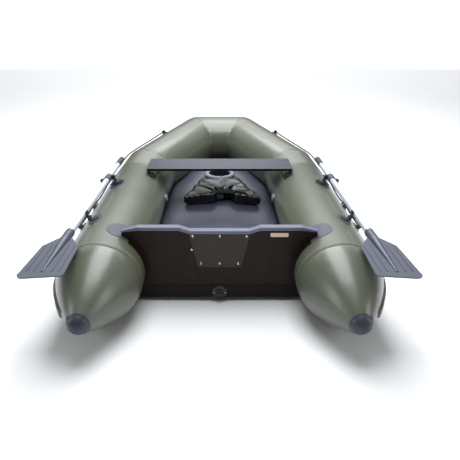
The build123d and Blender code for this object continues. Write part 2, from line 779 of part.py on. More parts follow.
# ---- seat ----
RAIL_BASE = R + GLUE_GAP
RAIL_NECK = RAIL_BASE + 2.6
RAIL_HEAD = RAIL_NECK + 4.5


def make_rail():
    """Glued strip with a T-shaped rail for the seat's clips."""
    base = sector(RAIL_BASE, RAIL_NECK, RAIL_ANGLE - 9, RAIL_ANGLE + 9)
    stem = sector(RAIL_NECK, RAIL_HEAD, RAIL_ANGLE - 1.1, RAIL_ANGLE + 1.1)
    head = sector(RAIL_HEAD, RAIL_HEAD + 3.5, RAIL_ANGLE - 2.4, RAIL_ANGLE + 2.4)
    plane = panel_plane(SEAM, BEND_1).offset(RAIL_START)
    return solid_of(extrude(plane * (base + stem + head), amount=RAIL_LENGTH, dir=plane.z_dir))


def make_seat_clip():
    """Clip under the seat that hooks round the rail's head."""
    block = sector(RAIL_NECK + 1.0, RAIL_HEAD + 40.0, RAIL_ANGLE - 4.4, RAIL_ANGLE + 4.4)
    slot = sector(RAIL_NECK, RAIL_HEAD + GAP, RAIL_ANGLE - 1.1 - 0.15, RAIL_ANGLE + 1.1 + 0.15)
    cavity = sector(RAIL_HEAD - GAP, RAIL_HEAD + 3.5 + GAP, RAIL_ANGLE - 2.4 - 0.15, RAIL_ANGLE + 2.4 + 0.15)
    section = block - slot - cavity
    plane = panel_plane(SEAM, BEND_1).offset(SEAT_Y + SEAT_CLIP_INSET)
    body = extrude(plane * section, amount=SEAT_CLIP_LENGTH, dir=plane.z_dir)
    under = Plane(origin=(0, 0, SEAT_TOP - SEAT_THICKNESS), z_dir=(0, 0, 1))
    return solid_of(split(body, bisect_by=under, keep=Keep.BOTTOM))


def make_seat():
    """Bench board with rounded upper edges."""
    board = RectangleRounded(SEAT_LENGTH, SEAT_WIDTH, 10)
    bottom = SEAT_TOP - SEAT_THICKNESS
    middle = station(SEAT_Y) + SEAT_WIDTH / 2
    body = Pos(0, middle, bottom) * extrude(board, amount=SEAT_THICKNESS)
    edges = body.edges().filter_by(Plane.XY).group_by(Axis.Z)[-1]
    return solid_of(fillet(edges, 3.0))


def build_seat():
    rail = make_rail()
    write("seat_rails", rail, mirrored(rail))
    clip = make_seat_clip()
    write("seat_clips", clip, mirrored(clip))
    write("seat_board", make_seat())


# ---- bag lying on the floor ----
def make_bag(inset):
    outline = [
        (BAG_HALF - inset, BAG_Y + inset),
        (BAG_HALF - inset, BAG_Y + BAG_BASE),
        (BAG_MOUTH_HALF - inset, BAG_Y + BAG_LENGTH - BAG_COLLAR),
        (BAG_MOUTH_HALF - inset, BAG_Y + BAG_LENGTH - inset),
    ]
    right = [(x, station(y)) for x, y in outline]
    left = [(-x, y) for x, y in reversed(right)]
    column = extrude(make_face(Polyline(*right, *left, close=True)), amount=2 * R)
    top = FLOOR_TOP + BAG_HEIGHT - inset
    profile = [
        (station(BAG_Y) - 10, FLOOR_TOP - 60),
        (station(BAG_Y) - 10, top - 16),
        (station(BAG_Y) + 60, top),
        (station(BAG_Y + BAG_LENGTH) + 10, top),
        (station(BAG_Y + BAG_LENGTH) + 10, FLOOR_TOP - 60),
    ]
    side_view = make_face(Polyline(*profile, close=True))
    slab = extrude(Plane.YZ * side_view, amount=BAG_HALF + 10, both=True)
    return column & slab


def make_bag_shell():
    def under(gap):
        half = FLOOR_HALF - FLOOR_ROUND
        edge = FLOOR_SHOULDER + gap
        crown = [
            ThreePointArc((half, edge), (0, FLOOR_TOP + gap), (-half, edge)),
            Polyline((-half, edge), (-half, -10), (half, -10), (half, edge)),
        ]
        flat = extrude(transom_plane() * make_face(crown), amount=-2 * BOW_END)
        turn = Pos(0, BEND_1.Y, R) * Rot(RISE_ANGLE, 0, 0) * Pos(0, -BEND_1.Y, -R)
        return flat + turn * flat

    outer = make_bag(0.0) - under(2 * GAP)
    inner = make_bag(BAG_WALL) - under(2 * GAP + BAG_WALL)
    return solid_of(outer - inner)


# ---- oars ----
def oar_plane():
    """Oar frame: origin where the pin meets the shaft, y forward, x outboard, z off the tube."""
    lock = tube_frame(OARLOCK_Y, OARLOCK_ANGLE, OAR_STANDOFF)
    toe = math.radians(OAR_TOE)
    along = Vector(0, math.cos(toe), 0) - lock.x_dir * math.sin(toe)
    side = along.cross(lock.z_dir)
    return Plane(origin=lock.origin + side * OAR_OFFSET, x_dir=side, z_dir=lock.z_dir)


def along_oar(start, end, outer, inner=0.0):
    """Round bar or sleeve on the oar's axis between two places along it."""
    plane = Plane(origin=(0, start, 0), x_dir=(1, 0, 0), z_dir=(0, 1, 0))
    section = Circle(outer)
    if inner:
        section -= Circle(inner)
    return extrude(plane * section, amount=end - start)


def pin_hole():
    return Rot(0, 90, 0) * Cylinder(PIN_RADIUS + PIN_CLEARANCE, 4 * COLLAR_RADIUS)


def make_shaft():
    body = along_oar(-BLADE_NECK - 60, GRIP_END - 6, SHAFT_RADIUS, SHAFT_RADIUS - SHAFT_WALL)
    return solid_of(oar_plane() * (body - pin_hole()))


def make_collar():
    half = COLLAR_LENGTH / 2
    body = along_oar(-half, half, COLLAR_RADIUS, SHAFT_RADIUS + 0.02)
    return solid_of(oar_plane() * (body - pin_hole()))


def make_grip():
    bore = SHAFT_RADIUS + 0.02
    start = GRIP_END - GRIP_LENGTH
    body = along_oar(start, GRIP_END, GRIP_RADIUS) - along_oar(start, GRIP_END - 5.5, bore)
    for k in range(8):
        ring = start + 16 + 11 * k
        body -= along_oar(ring, ring + 3, GRIP_RADIUS + 1, GRIP_RADIUS - 0.7)
    return solid_of(oar_plane() * body)


def blade_tilt():
    """Rolls the blade level about the oar's axis."""
    return Rot(0, -(90 - OARLOCK_ANGLE), 0)


def make_blade():
    """Flat paddle with a tapered socket for the shaft and low ribs on each face."""
    neck, end = -BLADE_NECK, -BLADE_NECK - BLADE_LENGTH
    half = BLADE_WIDTH / 2
    shoulder = neck - 118
    outline = [
        Polyline((20, neck - 44), (half - 6, shoulder), (half + 3, end + 34)),
        ThreePointArc((half + 3, end + 34), (half - 2, end + 8), (half - 22, end)),
        Line((half - 22, end), (-half + 8, end + 16)),
        ThreePointArc((-half + 8, end + 16), (-half - 1, end + 22), (-half - 3, end + 34)),
        Polyline((-half - 3, end + 34), (-half + 6, shoulder), (-20, neck - 44), (20, neck - 44)),
    ]
    sheet = Pos(0, 0, -BLADE_THICKNESS / 2) * extrude(make_face(outline), amount=BLADE_THICKNESS)
    for side in (1, -1):
        for share in (0.42, 0.74):
            place = Pos(side * share * half, end + 42, 0)
            sheet += place * Box(3, 190, BLADE_THICKNESS + 3, align=ON_EDGE_Y)
    spine = Plane(origin=(0, neck, 0), x_dir=(1, 0, 0), z_dir=(0, -1, 0))
    stations = ((0, SHAFT_RADIUS + 4), (70, SHAFT_RADIUS + 4), (BLADE_LENGTH - 40, 5))
    socket = loft([spine.offset(y) * Circle(radius) for y, radius in stations], ruled=True)
    body = blade_tilt() * (sheet + socket)
    body -= along_oar(neck - 61, neck + 1, SHAFT_RADIUS + 0.02)
    return solid_of(oar_plane() * body)


def make_swivel():
    """Stem that turns in the base, with the athwart pin that the oar hangs on."""
    lock = tube_frame(OARLOCK_Y, OARLOCK_ANGLE)
    floor = GLUE_GAP + PATCH_THICKNESS + GLUE_GAP + 4.0
    stem = Pos(0, 0, floor) * Cylinder(SWIVEL_RADIUS, OAR_STANDOFF + 10 - floor, align=STANDING)
    toe = Rot(0, 0, OAR_TOE)
    reach = OAR_OFFSET + COLLAR_RADIUS + 24
    bar = Pos(reach / 2, 0, 0) * Rot(0, 90, 0) * Cylinder(PIN_RADIUS, reach)
    pin = Pos(0, 0, OAR_STANDOFF) * toe * bar
    return solid_of(lock * (stem + pin))


def make_base():
    """Round socket for the swivel, glued on its patch."""
    floor = GLUE_GAP + PATCH_THICKNESS + GLUE_GAP
    foot = Pos(0, 0, -12) * Cylinder(LOCK_BASE_RADIUS, 12 + 9, align=STANDING)
    boss = Pos(0, 0, 8) * Cylinder(LOCK_BOSS_RADIUS, 9, align=STANDING)
    boss = fillet(boss.edges().group_by(Axis.Z)[-1], 6.0)
    lock = tube_frame(OARLOCK_Y, OARLOCK_ANGLE)
    bore = SWIVEL_RADIUS + PIN_CLEARANCE
    socket = Pos(0, 0, floor + 4 - GAP) * Cylinder(bore, 60, align=STANDING)
    body = lock * (foot + boss - socket)
    return solid_of(body - tube_cutter(floor))


def tube_cutter(height):
    """The side tube as a bar, grown by a height, for seating what is glued on it."""
    plane = panel_plane(SEAM, BEND_1)
    return extrude(plane * Circle(R + height), amount=SIDE_LENGTH, dir=plane.z_dir)


def make_knob():
    """Fluted nut that keeps the oar on its pin."""
    bore = PIN_RADIUS + PIN_CLEARANCE
    start = COLLAR_RADIUS + 1.0
    body = Cylinder(KNOB_RADIUS, 20, align=STANDING)
    body = chamfer(body.edges(), 1.5)
    for k in range(8):
        body -= Rot(0, 0, 45 * k) * Pos(KNOB_RADIUS + 1.4, 0, 10) * Cylinder(3.0, 24)
    body -= Cylinder(bore, 60)
    return solid_of(oar_plane() * (Pos(start, 0, 0) * Rot(0, 90, 0) * body))


def make_patch(y, angle, size):
    """Oval patch on the side tube."""
    inner = R + GLUE_GAP
    ring = side_band(inner, inner + PATCH_THICKNESS, angle - 25, angle + 25, y - 120, y + 120)
    frame = tube_frame(y, angle, -60)
    return solid_of(ring & extrude(frame * Ellipse(*size), amount=120))


def clip_offset():
    """Oar axis distance from the lock's line at the clip."""
    return OAR_OFFSET + (OARLOCK_Y - CLIP_Y) * math.tan(math.radians(OAR_TOE))


def make_clip():
    """Rubber holder: a foot, a post and a hook that is open upward and outboard."""
    floor = GLUE_GAP + PATCH_THICKNESS + GLUE_GAP
    frame = tube_frame(CLIP_Y, OARLOCK_ANGLE)
    shaft_x = clip_offset()
    inner = SHAFT_RADIUS + CLIP_ROOM
    wall = 4.5
    foot = Pos(8, 0, -12) * Cylinder(21, 12 + 6, align=STANDING)
    section = Pos(shaft_x, OAR_STANDOFF) * (Circle(inner + wall) - Circle(inner))
    quarter = Pos(shaft_x, OAR_STANDOFF) * Rectangle(60, 60, align=(Align.MAX, Align.MAX))
    lower = Pos(shaft_x, OAR_STANDOFF) * Rectangle(7, 60, align=(Align.MIN, Align.MAX))
    hook = (section & (quarter + lower)).face()
    arm = Pos(shaft_x - inner - wall / 2, OAR_STANDOFF + 4) * Rectangle(wall, 8.2)
    post = Pos(shaft_x - inner, 13) * Rectangle(12, 21)
    upright = Plane(origin=(0, CLIP_LENGTH / 2, 0), x_dir=(1, 0, 0), z_dir=(0, -1, 0))
    relief = Pos(shaft_x, 0, OAR_STANDOFF) * Rot(90, 0, 0) * Cylinder(inner, 60)
    body = foot + extrude(upright * (post + hook + arm), amount=CLIP_LENGTH) - relief
    return solid_of(frame * body - tube_cutter(floor))


def build_oars():
    write_pair("oar_shaft", make_shaft())
    write_pair("oar_collar", make_collar())
    write_pair("oar_grip", make_grip())
    write_pair("oar_blade", make_blade())
    write_pair("oar_swivel", make_swivel())
    write_pair("oar_knob", make_knob())
    base = make_base()
    write("oarlock_bases", base, mirrored(base))
    clip = make_clip()
    write("oar_clips", clip, mirrored(clip))
    patches = [
        make_patch(OARLOCK_Y, OARLOCK_ANGLE, (44, 60)),
        make_patch(CLIP_Y, OARLOCK_ANGLE - 2, (32, 48)),
    ]
    write("oar_patches", *patches, *[mirrored(p) for p in patches])


# ---- inflation valves ----
def make_valve_body():
    """Flanged barrel through the tube's wall."""
    frame = tube_frame(VALVE_Y, VALVE_ANGLE)
    flange = Pos(0, 0, -8) * Cylinder(VALVE_RADIUS, 8 + 4, align=STANDING)
    flange = frame * flange - tube_cutter(GLUE_GAP)
    barrel = frame * (Pos(0, 0, -22) * Cylinder(VALVE_BARREL, 24, align=STANDING))
    bore = frame * Cylinder(VALVE_BORE, 80)
    return solid_of(max((flange + barrel).solids(), key=lambda s: s.volume) - bore)


def make_valve_cap():
    """Cap with a short plug that enters the valve's bore."""
    frame = tube_frame(VALVE_Y, VALVE_ANGLE, 4.0 + GAP)
    head = Cylinder(VALVE_CAP_RADIUS, 8, align=STANDING)
    head = fillet(head.edges().group_by(Axis.Z)[-1], 2.5)
    for k in range(12):
        head -= Rot(0, 0, 30 * k) * Pos(VALVE_CAP_RADIUS + 1.2, 0, 3) * Cylinder(2.2, 12)
    plug = Cylinder(VALVE_BORE - PIN_CLEARANCE, 10, align=(Align.CENTER, Align.CENTER, Align.MAX))
    return solid_of(frame * (head + plug))


def build_valves():
    body = make_valve_body()
    write("valve_bodies", body, mirrored(body))
    write_pair("valve_cap", make_valve_cap())


# ---- rope holders and grab lines ----
PATHS = {
    "side": (SEAM, BEND_1),
    "shoulder": (BEND_1, BEND_2),
    "cheek": (BEND_2, BEND_3),
    "bow": (BEND_3, BEND_4),
}

# Where each holder stands: stretch of tube, distance along it, angle above outward,
# and 1 or -1 if the line ends there.
HOLDERS = (
    ("cheek", 322, 57.0, 1),
    ("side", 985, 33.0, 0),
    ("side", 545, 33.0, 0),
    ("side", 318, 32.0, -1),
)

# Corners of the grab line from the bow holder to the last one aft:
# stretch, distance along it, angle above outward, height off the tube.
ROPE_ROUTE = (
    ("cheek", 322, 57.0, 13.0),
    ("cheek", 262, 54.0, 12.0),
    ("cheek", 168, 51.5, 10.5),
    ("cheek", 62, 47.0, 12.5),
    ("shoulder", 196, 44.5, 15.0),
    ("shoulder", 104, 40.0, 11.5),
    ("shoulder", 12, 37.5, 14.0),
    ("side", 985, 33.0, 13.0),
    ("side", 905, 28.0, 11.0),
    ("side", 805, 23.5, 9.5),
    ("side", 702, 23.5, 9.5),
    ("side", 612, 28.5, 11.0),
    ("side", 545, 33.6, 13.0),
    ("side", 472, 31.5, 11.0),
    ("side", 392, 30.5, 11.0),
    ("side", 318, 32.0, 13.0),
)


def on_tube(stretch, distance, angle, height):
    """Point at a height off a stretch of tube."""
    plane = panel_plane(*PATHS[stretch])
    c, s = unit(angle)
    return plane.origin + plane.z_dir * distance + (plane.x_dir * s + plane.y_dir * c) * (R + height)


def surface_frame(stretch, distance, angle):
    """Plane on any stretch: z leaves the tube and y runs along it towards the bow."""
    plane = panel_plane(*PATHS[stretch])
    c, s = unit(angle)
    normal = plane.x_dir * s + plane.y_dir * c
    origin = plane.origin + plane.z_dir * distance + normal * R
    return Plane(origin=origin, x_dir=plane.z_dir.cross(normal), z_dir=normal)


def stretch_bar(stretch, height):
    """A stretch of tube as a bar, grown by a height."""
    start, end = PATHS[stretch]
    plane = panel_plane(start, end)
    return extrude(plane.offset(-60) * Circle(R + height), amount=(end - start).length + 120, dir=plane.z_dir)


def make_holder(stretch, distance, angle, end):
    """Rubber disc with a lug; an end holder's lug is closed on its far side."""
    frame = surface_frame(stretch, distance, angle)
    width, length, top = HOLDER_LUG
    disc = Pos(0, 0, -6) * Cylinder(HOLDER_RADIUS, 6 + 3.5, align=STANDING)
    middle = 0 if end == 0 else end * length / 3
    lug = Pos(0, middle, 0) * Box(width, length, top, align=STANDING)
    lug = chamfer(lug.edges().filter_by(Axis.Y).group_by(Axis.Z)[-1], 4.0)
    hole = Pos(0, 0, ROPE_CENTRE_HEIGHT) * Rot(90, 0, 0) * Cylinder(ROPE_HOLE_RADIUS, 60)
    if end:
        hole &= Pos(0, -end * (40 - ROPE_END_ROOM), 0) * Box(80, 80, 80)
    return solid_of(frame * (disc + lug - hole) - stretch_bar(stretch, GLUE_GAP))


def make_rope():
    points = [on_tube(*place) for place in ROPE_ROUTE]
    radii = bend_radii(points)
    path = FilletPolyline(*points, radius=radii)
    start = Plane(origin=points[0], z_dir=(points[1] - points[0]).normalized())
    rope = solid_of(sweep(start * Circle(ROPE_DIAMETER / 2), path=path))
    length = path.length
    share = rope.volume / (math.pi * ROPE_DIAMETER**2 / 4 * length)
    print("grab line length", round(length), "volume share", round(share, 4))
    print("grab line radii", [round(r) for r in radii])
    return rope


def build_ropes():
    holders = [make_holder(*place) for place in HOLDERS]
    write("rope_holders", *holders, *[mirrored(h) for h in holders])
    write_pair("grab_line", make_rope())


# ---- bow fittings ----
def make_handle():
    """Moulded carrying handle across the front of the bow."""
    half = HANDLE_HALF
    frame = surface_frame("bow", BOW_FLAT_HALF, HANDLE_ANGLE)
    outline = [
        Polyline((-half - 20, -4), (-half - 20, 7), (-half + 6, 9)),
        ThreePointArc((-half + 6, 9), (0, HANDLE_RISE), (half - 6, 9)),
        Polyline((half - 6, 9), (half + 20, 7), (half + 20, -4), (half - 22, -4), (half - 22, 7)),
        ThreePointArc((half - 22, 7), (0, HANDLE_RISE - HANDLE_WALL), (-half + 22, 7)),
        Polyline((-half + 22, 7), (-half + 22, -4), (-half - 20, -4)),
    ]
    upright = Plane(origin=(-HANDLE_WIDTH / 2, 0, 0), x_dir=(0, 1, 0), z_dir=(1, 0, 0))
    body = frame * extrude(upright * make_face(outline), amount=HANDLE_WIDTH)
    return solid_of(body - stretch_bar("bow", GLUE_GAP))


def make_tow_eye():
    """Glued disc with a loop for the tow ring."""
    frame = surface_frame("bow", BOW_FLAT_HALF, TOW_ANGLE)
    disc = Pos(0, 0, -10) * Cylinder(42, 10 + 3, align=STANDING)
    neck = Box(12, 16, TOW_EYE_HEIGHT, align=STANDING)
    eye = Pos(0, 0, TOW_EYE_HEIGHT) * Rot(90, 0, 0) * Cylinder(7.5, 16)
    hole = Pos(0, 0, TOW_EYE_HEIGHT) * Rot(90, 0, 0) * Cylinder(TOW_WIRE_RADIUS + 1.7, 40)
    return solid_of(frame * (disc + neck + eye - hole) - stretch_bar("bow", GLUE_GAP))


def make_tow_ring():
    """Steel ring that hangs from the tow eye."""
    frame = surface_frame("bow", BOW_FLAT_HALF, TOW_ANGLE)
    axis = frame.origin + frame.z_dir * TOW_EYE_HEIGHT
    ring = Torus(TOW_RING_RADIUS, TOW_WIRE_RADIUS)
    return solid_of(Pos(axis.X, axis.Y, axis.Z - TOW_RING_RADIUS) * Rot(90, 0, 0) * ring)


def build_bow_fittings():
    write("bow_handle", make_handle())
    write("tow_eye", make_tow_eye())
    write("tow_ring", make_tow_ring())


def main():
    os.makedirs("parts", exist_ok=True)
    build_hull()
    build_floor()
    build_transom()
    build_seat()
    write("carry_bag", make_bag_shell())
    build_oars()
    build_valves()
    build_ropes()
    build_bow_fittings()


main()
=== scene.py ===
"""Looks of the inflatable dinghy: skins, soft pieces, ropes, finishes, light and camera.

Metres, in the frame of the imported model: +X starboard, +Y to the bow, +Z up.
"""

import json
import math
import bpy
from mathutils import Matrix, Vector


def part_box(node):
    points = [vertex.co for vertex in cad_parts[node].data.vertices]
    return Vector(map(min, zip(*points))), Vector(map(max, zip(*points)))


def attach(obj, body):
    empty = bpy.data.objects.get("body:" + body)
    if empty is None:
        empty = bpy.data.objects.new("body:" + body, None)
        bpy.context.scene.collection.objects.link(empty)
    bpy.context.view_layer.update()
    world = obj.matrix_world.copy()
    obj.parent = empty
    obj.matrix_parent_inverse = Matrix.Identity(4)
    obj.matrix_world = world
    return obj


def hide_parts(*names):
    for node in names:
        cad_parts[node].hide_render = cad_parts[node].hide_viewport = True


bl_info = {
    "name": "Inflatable Dinghy Looks",
    "version": (1, 0, 0),
    "blender": (4, 5, 0),
    "location": "View3D > Sidebar > Dinghy",
    "description": "Builds the skins, soft pieces, ropes and finishes of an inflatable dinghy",
    "category": "Object",
}

import bmesh
import bpy
import numpy as np
from bpy.props import FloatProperty, FloatVectorProperty, IntProperty, PointerProperty
from mathutils import Vector, noise

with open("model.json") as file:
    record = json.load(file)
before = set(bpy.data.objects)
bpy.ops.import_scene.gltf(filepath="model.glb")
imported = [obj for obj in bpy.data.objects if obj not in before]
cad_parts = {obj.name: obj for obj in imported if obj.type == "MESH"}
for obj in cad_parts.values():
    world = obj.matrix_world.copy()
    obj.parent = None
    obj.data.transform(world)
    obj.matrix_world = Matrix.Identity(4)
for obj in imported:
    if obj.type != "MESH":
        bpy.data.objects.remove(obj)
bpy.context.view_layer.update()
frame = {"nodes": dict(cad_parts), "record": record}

SIDES = (("right", 1), ("left", -1))
SEAM_TAPE_MARGIN = 0.005
TUBE_RADIUS = (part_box("side_tube_right")[1].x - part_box("side_tube_right")[0].x) / 2
SIDE_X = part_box("side_tube_right")[0].x + TUBE_RADIUS
SEAM_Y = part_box("seam_tapes")[0].y - SEAM_TAPE_MARGIN


# ---- settings ----
def length_setting(name, description, value):
    return FloatProperty(name=name, description=description, default=value, unit="LENGTH", precision=4)


def number_setting(name, description, value):
    return FloatProperty(name=name, description=description, default=value)


def angle_setting(name, description, degrees):
    return FloatProperty(name=name, description=description, default=math.radians(degrees), subtype="ANGLE")


def colour_setting(name, description, value):
    return FloatVectorProperty(
        name=name, description=description, default=value, size=3, min=0.0, max=1.0, subtype="COLOR"
    )


class DinghyTube(bpy.types.PropertyGroup):
    """Sizes of the buoyancy tube's skin."""

    radius: length_setting("Tube radius", "Radius of the inflated tube", TUBE_RADIUS)
    side_length: length_setting("Side length", "Stern seam to the first bend", 1.045)
    shoulder_length: length_setting("Shoulder length", "First bend to the second", 0.205)
    bow_half: length_setting("Half bow", "Half the length of the bow's flat front", 0.155)
    bow_rise: length_setting("Bow rise", "How far the tube's axis climbs to the bow", 0.115)
    cone_length: length_setting("Cone length", "Stern seam to the cone's tip", 0.283)
    cone_tip: length_setting("Cone tip radius", "Radius of the cone's tip", 0.038)
    shoulder_angle: angle_setting("Shoulder angle", "Turn inward at the first bend", 9)
    cheek_angle: angle_setting("Cheek angle", "Heading of the cheek", 30)
    cone_toe: angle_setting("Cone toe", "How far the cone's tip points outboard", 2.4)
    cone_roundness: number_setting("Cone roundness", "Power of the cone's profile", 1.6)
    seam_softness: length_setting("Seam softness", "How far a mitre's edge is rounded", 0.021)
    pucker: length_setting("Pucker", "Height of the small folds at a mitre", 0.0012)
    segments: IntProperty(name="Segments", description="Faces around the tube", default=128)


class DinghySoft(bpy.types.PropertyGroup):
    """Sizes of the air floor, the bag and the seat."""

    floor_top: length_setting("Floor top", "Height of the floor's crown", 0.137)
    floor_shoulder: length_setting("Floor shoulder", "Height of the floor where its side rounds off", 0.112)
    floor_half: length_setting("Floor half width", "Half the width of the floor", 0.35)
    bag_start: length_setting("Bag start", "Stern seam to the bag's base", 0.886)
    bag_length: length_setting("Bag length", "Base to mouth", 0.372)
    bag_half: length_setting("Bag half width", "Half the width of the bag's base", 0.226)
    mouth_half: length_setting("Mouth half width", "Half the width at the bag's mouth", 0.094)
    bag_height: length_setting("Bag height", "Height of the bag's base", 0.06)
    seat_groove: length_setting("Seat groove", "Depth of the grooves along the seat", 0.0014)
    seat_ribs: IntProperty(name="Seat ribs", description="Number of ribs along the seat", default=9)


class DinghyRope(bpy.types.PropertyGroup):
    """Sizes of the ropes."""

    grab_diameter: length_setting("Grab line diameter", "Diameter of the grab lines", 0.010)
    tether_diameter: length_setting("Tether diameter", "Diameter of the plug's tether", 0.003)
    strands: IntProperty(name="Strands", description="Strands of a laid rope", default=3)
    lay: length_setting("Lay", "Length of one turn of the strands", 0.038)


class DinghyColours(bpy.types.PropertyGroup):
    """Colours of the finishes, scene linear."""

    hull: colour_setting("Hull", "Coated fabric of the tube", (0.109, 0.117, 0.084))
    hull_dark: colour_setting("Hull shade", "Darker mottle of the tube", (0.094, 0.101, 0.071))
    strake: colour_setting("Strake", "Rubbing strake", (0.105, 0.088, 0.085))
    rubber: colour_setting("Rubber", "Black moulded rubber", (0.016, 0.016, 0.018))
    cap: colour_setting("Cap", "Rubber of the stern caps", (0.044, 0.046, 0.063))
    patch: colour_setting("Patch", "Reinforcement patches", (0.064, 0.070, 0.103))
    floor: colour_setting("Floor", "Coated fabric of the air floor", (0.044, 0.048, 0.070))
    transom: colour_setting("Transom", "Coated plywood of the transom", (0.0175, 0.0100, 0.0070))
    pad: colour_setting("Pad", "Motor pads", (0.030, 0.0215, 0.0165))
    trim: colour_setting("Trim", "Edge trim of the transom", (0.140, 0.148, 0.212))
    plate: colour_setting("Plate", "Blank plate", (0.92, 0.66, 0.47))
    seat: colour_setting("Seat", "Bench seat", (0.040, 0.044, 0.065))
    clip: colour_setting("Clip", "Clips of the seat", (0.95, 0.90, 0.66))
    bag: colour_setting("Bag", "Nylon of the bag", (0.0065, 0.0065, 0.0095))
    collar: colour_setting("Collar", "Lining at the bag's mouth", (0.17, 0.175, 0.235))
    alloy: colour_setting("Alloy", "Oar shafts", (0.80, 0.86, 0.95))
    grip: colour_setting("Grip", "Oar grips and collars", (0.060, 0.064, 0.085))
    blade: colour_setting("Blade", "Oar blades", (0.056, 0.063, 0.092))
    valve: colour_setting("Valve", "Inflation valves", (0.28, 0.29, 0.32))
    steel: colour_setting("Steel", "Screws, nuts and the tow ring", (0.72, 0.71, 0.69))
    rope: colour_setting("Rope", "Grab lines and the tether", (0.014, 0.014, 0.017))
    # Painted shade: a near-black copy of the seat's colour for the bench's aft faces, which are turned away
    # from the overhead light.
    seat_edge_painted_shade: colour_setting("Seat edge", "Aft edge of the bench", (0.0045, 0.0050, 0.0075))
    hem: colour_setting("Hem", "Bottom fabric and its hem", (0.0135, 0.0080, 0.0056))
    stage: colour_setting("Stage", "Studio floor", (0.93, 0.93, 0.93))


class DinghyStage(bpy.types.PropertyGroup):
    """Camera and light."""

    camera_height: length_setting("Camera height", "Height of the camera", 1.155)
    camera_back: length_setting("Camera distance", "Distance of the camera aft of the stern seam", 1.536)
    camera_dip: angle_setting("Camera dip", "Angle of the camera below level", 26.13)
    lens: number_setting("Lens", "Focal length in millimetres", 34.94)
    shift: number_setting("Shift", "Sideways shift of the view", 0.0226)
    ambient: number_setting("Ambient", "Strength of the surrounding light", 0.14)
    overhead: number_setting("Overhead", "Power of the overhead softbox in watts", 228.0)
    side: number_setting("Side", "Power of each side softbox in watts", 34.0)
    backdrop: number_setting("Backdrop", "Power of the backdrop softbox in watts", 820.0)


def settings():
    return bpy.context.scene.dinghy


class DinghySettings(bpy.types.PropertyGroup):
    """All settings of the dinghy."""

    tube: PointerProperty(type=DinghyTube)
    soft: PointerProperty(type=DinghySoft)
    rope: PointerProperty(type=DinghyRope)
    colours: PointerProperty(type=DinghyColours)
    stage: PointerProperty(type=DinghyStage)


# ---- shader groups: each gives heights and masks that change over the surface ----
def new_group(name, inputs, outputs):
    """Empty shader group with float or vector inputs and float outputs."""
    group = bpy.data.node_groups.new(name, "ShaderNodeTree")
    for label, kind, default in inputs:
        socket = group.interface.new_socket(label, in_out="INPUT", socket_type=kind)
        if kind == "NodeSocketFloat":
            socket.default_value = default
    for label in outputs:
        group.interface.new_socket(label, in_out="OUTPUT", socket_type="NodeSocketFloat")
    return group, group.nodes.new("NodeGroupInput"), group.nodes.new("NodeGroupOutput")


def feed(tree, socket, value):
    """Links another socket to this one, or sets it to a plain value."""
    if isinstance(value, bpy.types.NodeSocket):
        tree.links.new(value, socket)
    else:
        socket.default_value = value


def math_node(tree, operation, *values, kind="ShaderNodeMath"):
    """Adds a Math or Vector Math node and fills its inputs with numbers or links."""
    node = tree.nodes.new(kind)
    node.operation = operation
    for socket, value in zip(node.inputs, values):
        feed(tree, socket, value)
    return node.outputs[0]


def noise_node(tree, vector, scale, detail=3.0, roughness=0.55):
    node = tree.nodes.new("ShaderNodeTexNoise")
    for label, value in (("Vector", vector), ("Scale", scale), ("Detail", detail), ("Roughness", roughness)):
        feed(tree, node.inputs[label], value)
    return node.outputs["Fac"]


def weave_group():
    """Thread pattern of coated or woven cloth, with a soft mottle."""
    inputs = (("Vector", "NodeSocketVector", None), ("Threads", "NodeSocketFloat", 900.0))
    group, source, sink = new_group("Dinghy Weave", inputs, ("Height", "Mottle"))
    vector = source.outputs["Vector"]
    bands = []
    for direction in ("X", "Y", "Z"):
        wave = group.nodes.new("ShaderNodeTexWave")
        wave.bands_direction = direction
        wave.inputs["Distortion"].default_value = 0.4
        group.links.new(vector, wave.inputs["Vector"])
        group.links.new(source.outputs["Threads"], wave.inputs["Scale"])
        bands.append(wave.outputs["Fac"])
    crossed = math_node(group, "MAXIMUM", math_node(group, "MAXIMUM", bands[0], bands[1]), bands[2])
    group.links.new(crossed, sink.inputs["Height"])
    coarse = math_node(group, "MULTIPLY", noise_node(group, vector, 5.0, 4.0), 0.75)
    fine = math_node(group, "MULTIPLY", noise_node(group, vector, 60.0, 2.0), 0.25)
    group.links.new(math_node(group, "ADD", coarse, fine), sink.inputs["Mottle"])
    return group


def grain_group():
    """Fine grain of moulded plastic and rubber, with faint scuffs."""
    inputs = (("Vector", "NodeSocketVector", None), ("Scale", "NodeSocketFloat", 700.0))
    group, source, sink = new_group("Dinghy Grain", inputs, ("Height", "Scuff"))
    vector, scale = source.outputs["Vector"], source.outputs["Scale"]
    group.links.new(noise_node(group, vector, scale, 2.0), sink.inputs["Height"])
    patchy = math_node(group, "SUBTRACT", noise_node(group, vector, 9.0, 5.0, 0.65), 0.42)
    fine = math_node(group, "MULTIPLY", noise_node(group, vector, 140.0, 3.0, 0.7), 4.0)
    scuff = math_node(group, "MULTIPLY", patchy, fine)
    ramp = group.nodes.new("ShaderNodeClamp")
    group.links.new(scuff, ramp.inputs["Value"])
    group.links.new(ramp.outputs["Result"], sink.inputs["Scuff"])
    return group


def streak_group():
    """Long fine streaks along one direction, as on drawn metal and laminated wood."""
    inputs = (("Vector", "NodeSocketVector", None), ("Scale", "NodeSocketFloat", 300.0))
    group, source, sink = new_group("Dinghy Streaks", inputs, ("Height", "Tone"))
    vector, scale = source.outputs["Vector"], source.outputs["Scale"]
    group.links.new(noise_node(group, vector, scale, 3.0, 0.6), sink.inputs["Height"])
    broad = math_node(group, "MULTIPLY", scale, 0.12)
    group.links.new(noise_node(group, vector, broad, 5.0), sink.inputs["Tone"])
    return group


GROUP_BUILDERS = {"Dinghy Weave": weave_group, "Dinghy Grain": grain_group, "Dinghy Streaks": streak_group}


